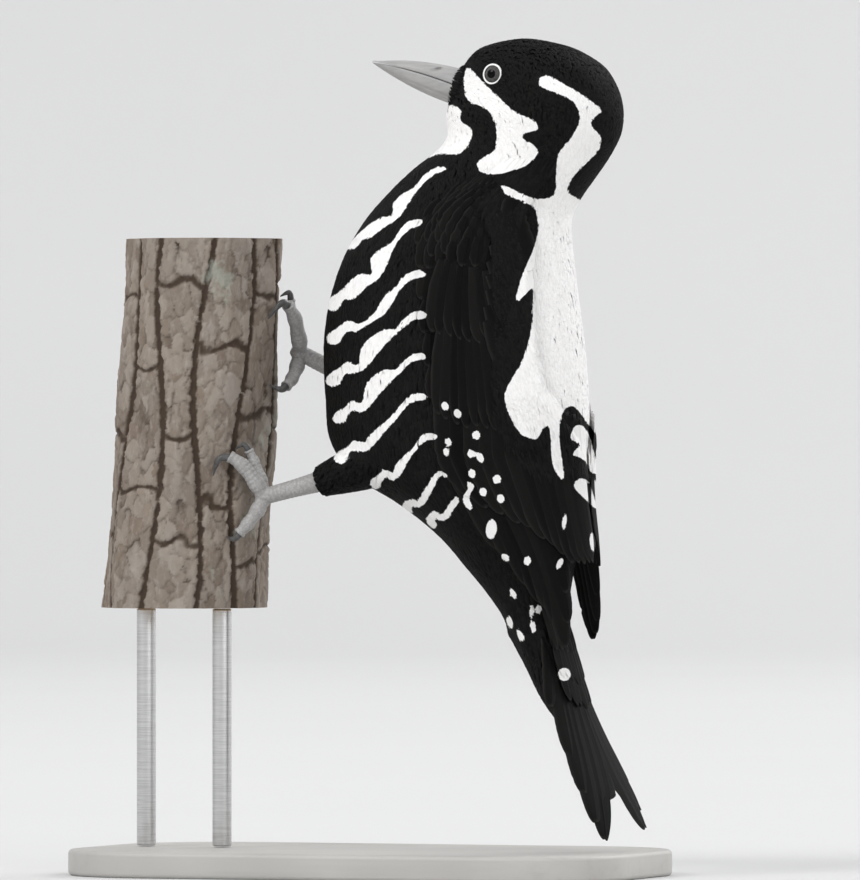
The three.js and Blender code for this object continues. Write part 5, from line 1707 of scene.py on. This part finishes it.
def make_trunk_end(name, ring, way):
    middle = np.array([perch_x(ring[0, 2]), 0.0, ring[0, 2]])
    end = middle + (ring - middle) * END_SHARES[:, None, None]
    sunk = np.where(END_SHARES > END_RIM, 0.0, END_SUNK)[:, None]
    end[..., 2] -= way * (sunk + SAW_MARKS * np.sin(end[..., 0] * 2.2 + end[..., 1] * 0.3))
    end[0] = ring
    rings = len(END_SHARES)
    faces = ring_faces(rings, BARK_COLUMNS)
    if way > 0:
        faces = faces[:, ::-1]
    last = (rings - 1) * BARK_COLUMNS + np.arange(BARK_COLUMNS)
    fan = np.stack([last, np.roll(last, -1), np.full(BARK_COLUMNS, rings * BARK_COLUMNS)], 1)
    places = np.concatenate([end.reshape(-1, 3), [middle - [0, 0, way * END_SUNK]]])
    sawn = piece_of("trunk_end_" + name, places, [faces, fan], sawn_material(middle * MM))
    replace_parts(sawn, "perch")


# ---------------- feet
# In bark coordinates. A toe runs from the pad to the root of its claw, and the claw to its point.
FEET = {
    LEFT: dict(pad=(-25, 6.2, 102.2), toes=[
        dict(toe=[(-30, 5.8, 105.5), (-38, 4.4, 110.6), (-46, 3.3, 113.2)],
             claw=[(-51.5, 2.9, 112.4), (-53.5, 0.45, 107.8)], radii=(2.1, 1.9, 1.6)),
        dict(toe=[(-26, 5.4, 106.8), (-29, 3.9, 111.6), (-32.5, 3.2, 114.8)],
             claw=[(-35.5, 2.8, 116.2), (-38.5, 0.45, 114.9)], radii=(1.6, 1.4, 1.25)),
        dict(toe=[(-28, 5.4, 98.6), (-33, 4.2, 94.6), (-36.5, 3.2, 92.2)],
             claw=[(-38.5, 2.6, 90.8), (-41.5, 0.45, 91.4)], radii=(2.0, 1.7, 1.5)),
    ]),
    RIGHT: dict(pad=(25, 6.4, 141.2), toes=[
        dict(toe=[(18, 6.0, 144.6), (8, 4.6, 150.4), (-2, 3.4, 154.0)],
             claw=[(-8, 2.9, 154.4), (-12.5, 0.45, 150.2)], radii=(2.1, 1.9, 1.6)),
        dict(toe=[(24.5, 5.6, 146.2), (23.5, 4.3, 151.8), (22, 3.5, 155.6)],
             claw=[(20, 3.0, 157.4), (17, 0.45, 156.4)], radii=(1.6, 1.4, 1.25)),
        dict(toe=[(20, 5.4, 137.4), (12, 4.0, 133.9), (6, 3.2, 132.0)],
             claw=[(2.0, 2.6, 131.2), (-3.5, 0.45, 132.4)], radii=(2.0, 1.7, 1.5)),
    ]),
}
TARSUS_RADII = (2.9, 2.4, 2.2)
FOOT_VOXEL = 0.26
SCUTE = 1.25  # length of one of the scales along a toe
SCUTE_RISE = 0.15
KNUCKLE = 0.16  # by which a toe swells and narrows
PAD_HALF_HEIGHT = 2.4
PAD_RADII = (1.2, 2.6, 1.2)


def foot_lines(side):
    """The lines down the middle of the tarsus and the toes."""
    pad = bark_point(FEET[side]["pad"])
    _, knee, heel = (np.array(p, float) for p in THIGHS[side][0])
    start = heel - unit(heel - knee) * 2.0
    lines = [([start, lerp(start, pad, 0.5), pad], TARSUS_RADII)]
    for toe in FEET[side]["toes"]:
        lines.append(([pad] + [bark_point(p) for p in toe["toe"]], (toe["radii"][0],) + toe["radii"]))
    return lines


def make_foot(side_name, side):
    lines = foot_lines(side)
    solids = []
    for number, (points, radii) in enumerate(lines):
        knuckles = 0 if number == 0 else 3

        def swell(share, turn, knuckles=knuckles):
            return KNUCKLE * np.cos(share * knuckles * 2 * math.pi) * (knuckles > 0) + 0 * turn

        solids.append(capped(tube(points, radii, 20, 26, bumps=swell)))
    pad, up = lines[1][0][0], np.array([0, 0, PAD_HALF_HEIGHT])
    solids.append(capped(tube([pad - up, pad, pad + up], PAD_RADII, 20, 14)))
    places, faces, normals = fused(solids, FOOT_VOXEL, 4)
    found = [near_line(places, points) for points, _ in lines]
    owner = np.array([away / radii[1] for (away, _, _), (_, radii) in zip(found, lines)]).argmin(0)
    run = np.choose(owner, [run for _, _, run in found])
    scute = (run / SCUTE) % 1.0
    scale = smooth(0.0, 0.25, scute) * (1 - 0.5 * smooth(0.5, 1.0, scute))
    places = places + normals * (SCUTE_RISE * scale - 0.1)[:, None]
    foot = piece_of("foot_skin_" + side_name, places, outward(places, [faces]), foot_skin)
    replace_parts(foot, "foot_" + side_name)
    set_values(foot, scute=scale)
    for number, toe in enumerate(FEET[side]["toes"], 1):
        make_claw(f"{side_name}_{number}", toe)


CLAW_POINT = 0.14  # its radius
CLAW_FLATTEN = 0.86
CLAW_SUNK = 1.2  # into its toe


def make_claw(name, toe):
    before, end = bark_point(toe["toe"][1]), bark_point(toe["toe"][2])
    root = end - unit(end - before) * CLAW_SUNK
    base = toe["radii"][2] * CLAW_FLATTEN
    points = [root] + [bark_point(p) for p in toe["claw"]]
    rings = tube(points, (base, base * 0.72, CLAW_POINT), 24, 40, flatten=CLAW_FLATTEN)
    claw = closed_piece("horn_claw_" + name, rings, claw_horn)
    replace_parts(claw, "claw_" + name)


# ---------------- stand
BASE = np.array([158.0, 92.0, 7.0])  # length, width and height
BASE_CORNER = 30.0
BASE_BEVEL = 1.2
CORNER_STEPS = 60
ROD_RADIUS = 2.6
ROD_SPREAD = 11.0


def base_outline(inset):
    """The rounded rectangle of the base, drawn in from its edge."""
    radius = BASE_CORNER - inset
    corner = BASE[:2] / 2 - BASE_CORNER
    turn = np.linspace(0, math.pi / 2, CORNER_STEPS)
    points = []
    for quarter, (sx, sy) in enumerate(((1, 1), (-1, 1), (-1, -1), (1, -1))):
        arc = turn + quarter * math.pi / 2
        points.append(np.stack([radius * np.cos(arc), radius * np.sin(arc)], 1) + corner * (sx, sy))
    return np.concatenate(points)


def make_base():
    turn = np.linspace(0, math.pi / 2, 9)
    inset = BASE_BEVEL * (1 - np.sin(turn))
    rise = BASE_BEVEL * (1 - np.cos(turn))
    insets = np.concatenate([[30, 2.5, 1.3], inset, inset[::-1], [1.3, 2.5, 12, 30]])
    heights = np.concatenate([[0, 0, 0], rise, (BASE[2] - rise)[::-1], [BASE[2]] * 4])
    insets = np.minimum(insets, BASE_CORNER - 1)
    rings = np.array([
        np.column_stack([base_outline(i), np.full(4 * CORNER_STEPS, z)]) for i, z in zip(insets, heights)
    ])
    base = closed_piece("stand_base_board", rings, stand_material())
    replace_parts(base, "stand_base")


def make_rods():
    steel = steel_material()
    for name, way in (("front", 1), ("back", -1)):
        low, high = (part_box("stand_rod_" + name)[k].z / MM for k in (0, 1))
        middle = perch_x(PERCH_BOTTOM) + way * ROD_SPREAD
        from_end, inset = np.array([[0, 0.02, 0.3, 0.5], [0.35, 0.3, 0.02, 0]])
        heights = np.concatenate([low + from_end, high - from_end[::-1]])
        radii = ROD_RADIUS - np.concatenate([inset, inset[::-1]])
        rings = turned(radii, heights, 64, middle)
        rod = closed_piece("stand_rod_" + name + "_steel", rings, steel)
        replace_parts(rod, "stand_rod_" + name)


# ---------------- studio
STUDIO_RADIUS = 5000.0
STUDIO_BEND = 1500.0  # radius of the curve by which the floor turns up into the wall
STUDIO_HEIGHT = 2600.0
STUDIO_SIDES = 96
AIM = (0, 0, 125)
LIGHTS = [("key", (-2000, -3600, 3600), 2.4, 122),  # place, size in metres, and watts
          ("fill", (3600, -2400, 1400), 3.6, 48),
          ("rim", (2000, 3600, 2800), 2.4, 96)]


def make_studio():
    arc = np.linspace(0, math.pi / 2, 20)
    flat = STUDIO_RADIUS - STUDIO_BEND
    radii = np.concatenate([[300, 1000, 2000, 3000], flat + STUDIO_BEND * np.sin(arc), [STUDIO_RADIUS]])
    heights = np.concatenate([[0] * 4, STUDIO_BEND * (1 - np.cos(arc)), [STUDIO_HEIGHT]])
    rings = turned(radii, heights, STUDIO_SIDES)
    places = np.concatenate([rings.reshape(-1, 3), [[0, 0, 0]]]) * MM
    faces = ring_faces(len(radii), STUDIO_SIDES)
    side = np.arange(STUDIO_SIDES)
    fan = np.stack([np.roll(side, -1), side, np.full(STUDIO_SIDES, len(places) - 1)], 1)
    mesh = bpy.data.meshes.new("studio")
    mesh.from_pydata(places.tolist(), [], faces.tolist() + fan.tolist())
    mesh.polygons.foreach_set("use_smooth", np.ones(len(mesh.polygons), bool))
    mesh.materials.append(floor_material())
    studio = bpy.data.objects.new("studio", mesh)
    bpy.context.scene.collection.objects.link(studio)


def add_light(name, place, size, watts):
    data = bpy.data.lights.new(name, "AREA")
    data.shape = "DISK"
    data.size = size
    data.energy = watts
    light = bpy.data.objects.new(name, data)
    light.location = Vector(place) * MM
    light.rotation_euler = (Vector(AIM) - Vector(place)).to_track_quat("-Z", "Y").to_euler()
    light.visible_camera = False
    bpy.context.scene.collection.objects.link(light)


def light_studio():
    for light in LIGHTS:
        add_light(*light)
    world = bpy.data.worlds.new("soft_sky")
    world.use_nodes = True
    sky = world.node_tree.nodes["Background"]
    sky.inputs["Color"].default_value = (0.985, 0.99, 1.0, 1)
    sky.inputs["Strength"].default_value = 0.84
    bpy.context.scene.world = world
    bpy.context.scene.view_settings.view_transform = "Standard"


# ---------------- the finished bird
make_skin()
make_coat()
for side_name, side in SIDES:
    make_wing(side_name, side)
    make_eye(side_name, side)
    make_eye_ring(side_name, side)
    make_foot(side_name, side)
make_tail()
make_bill()
make_bristles()
make_perch()
make_base()
make_rods()
make_studio()
light_studio()
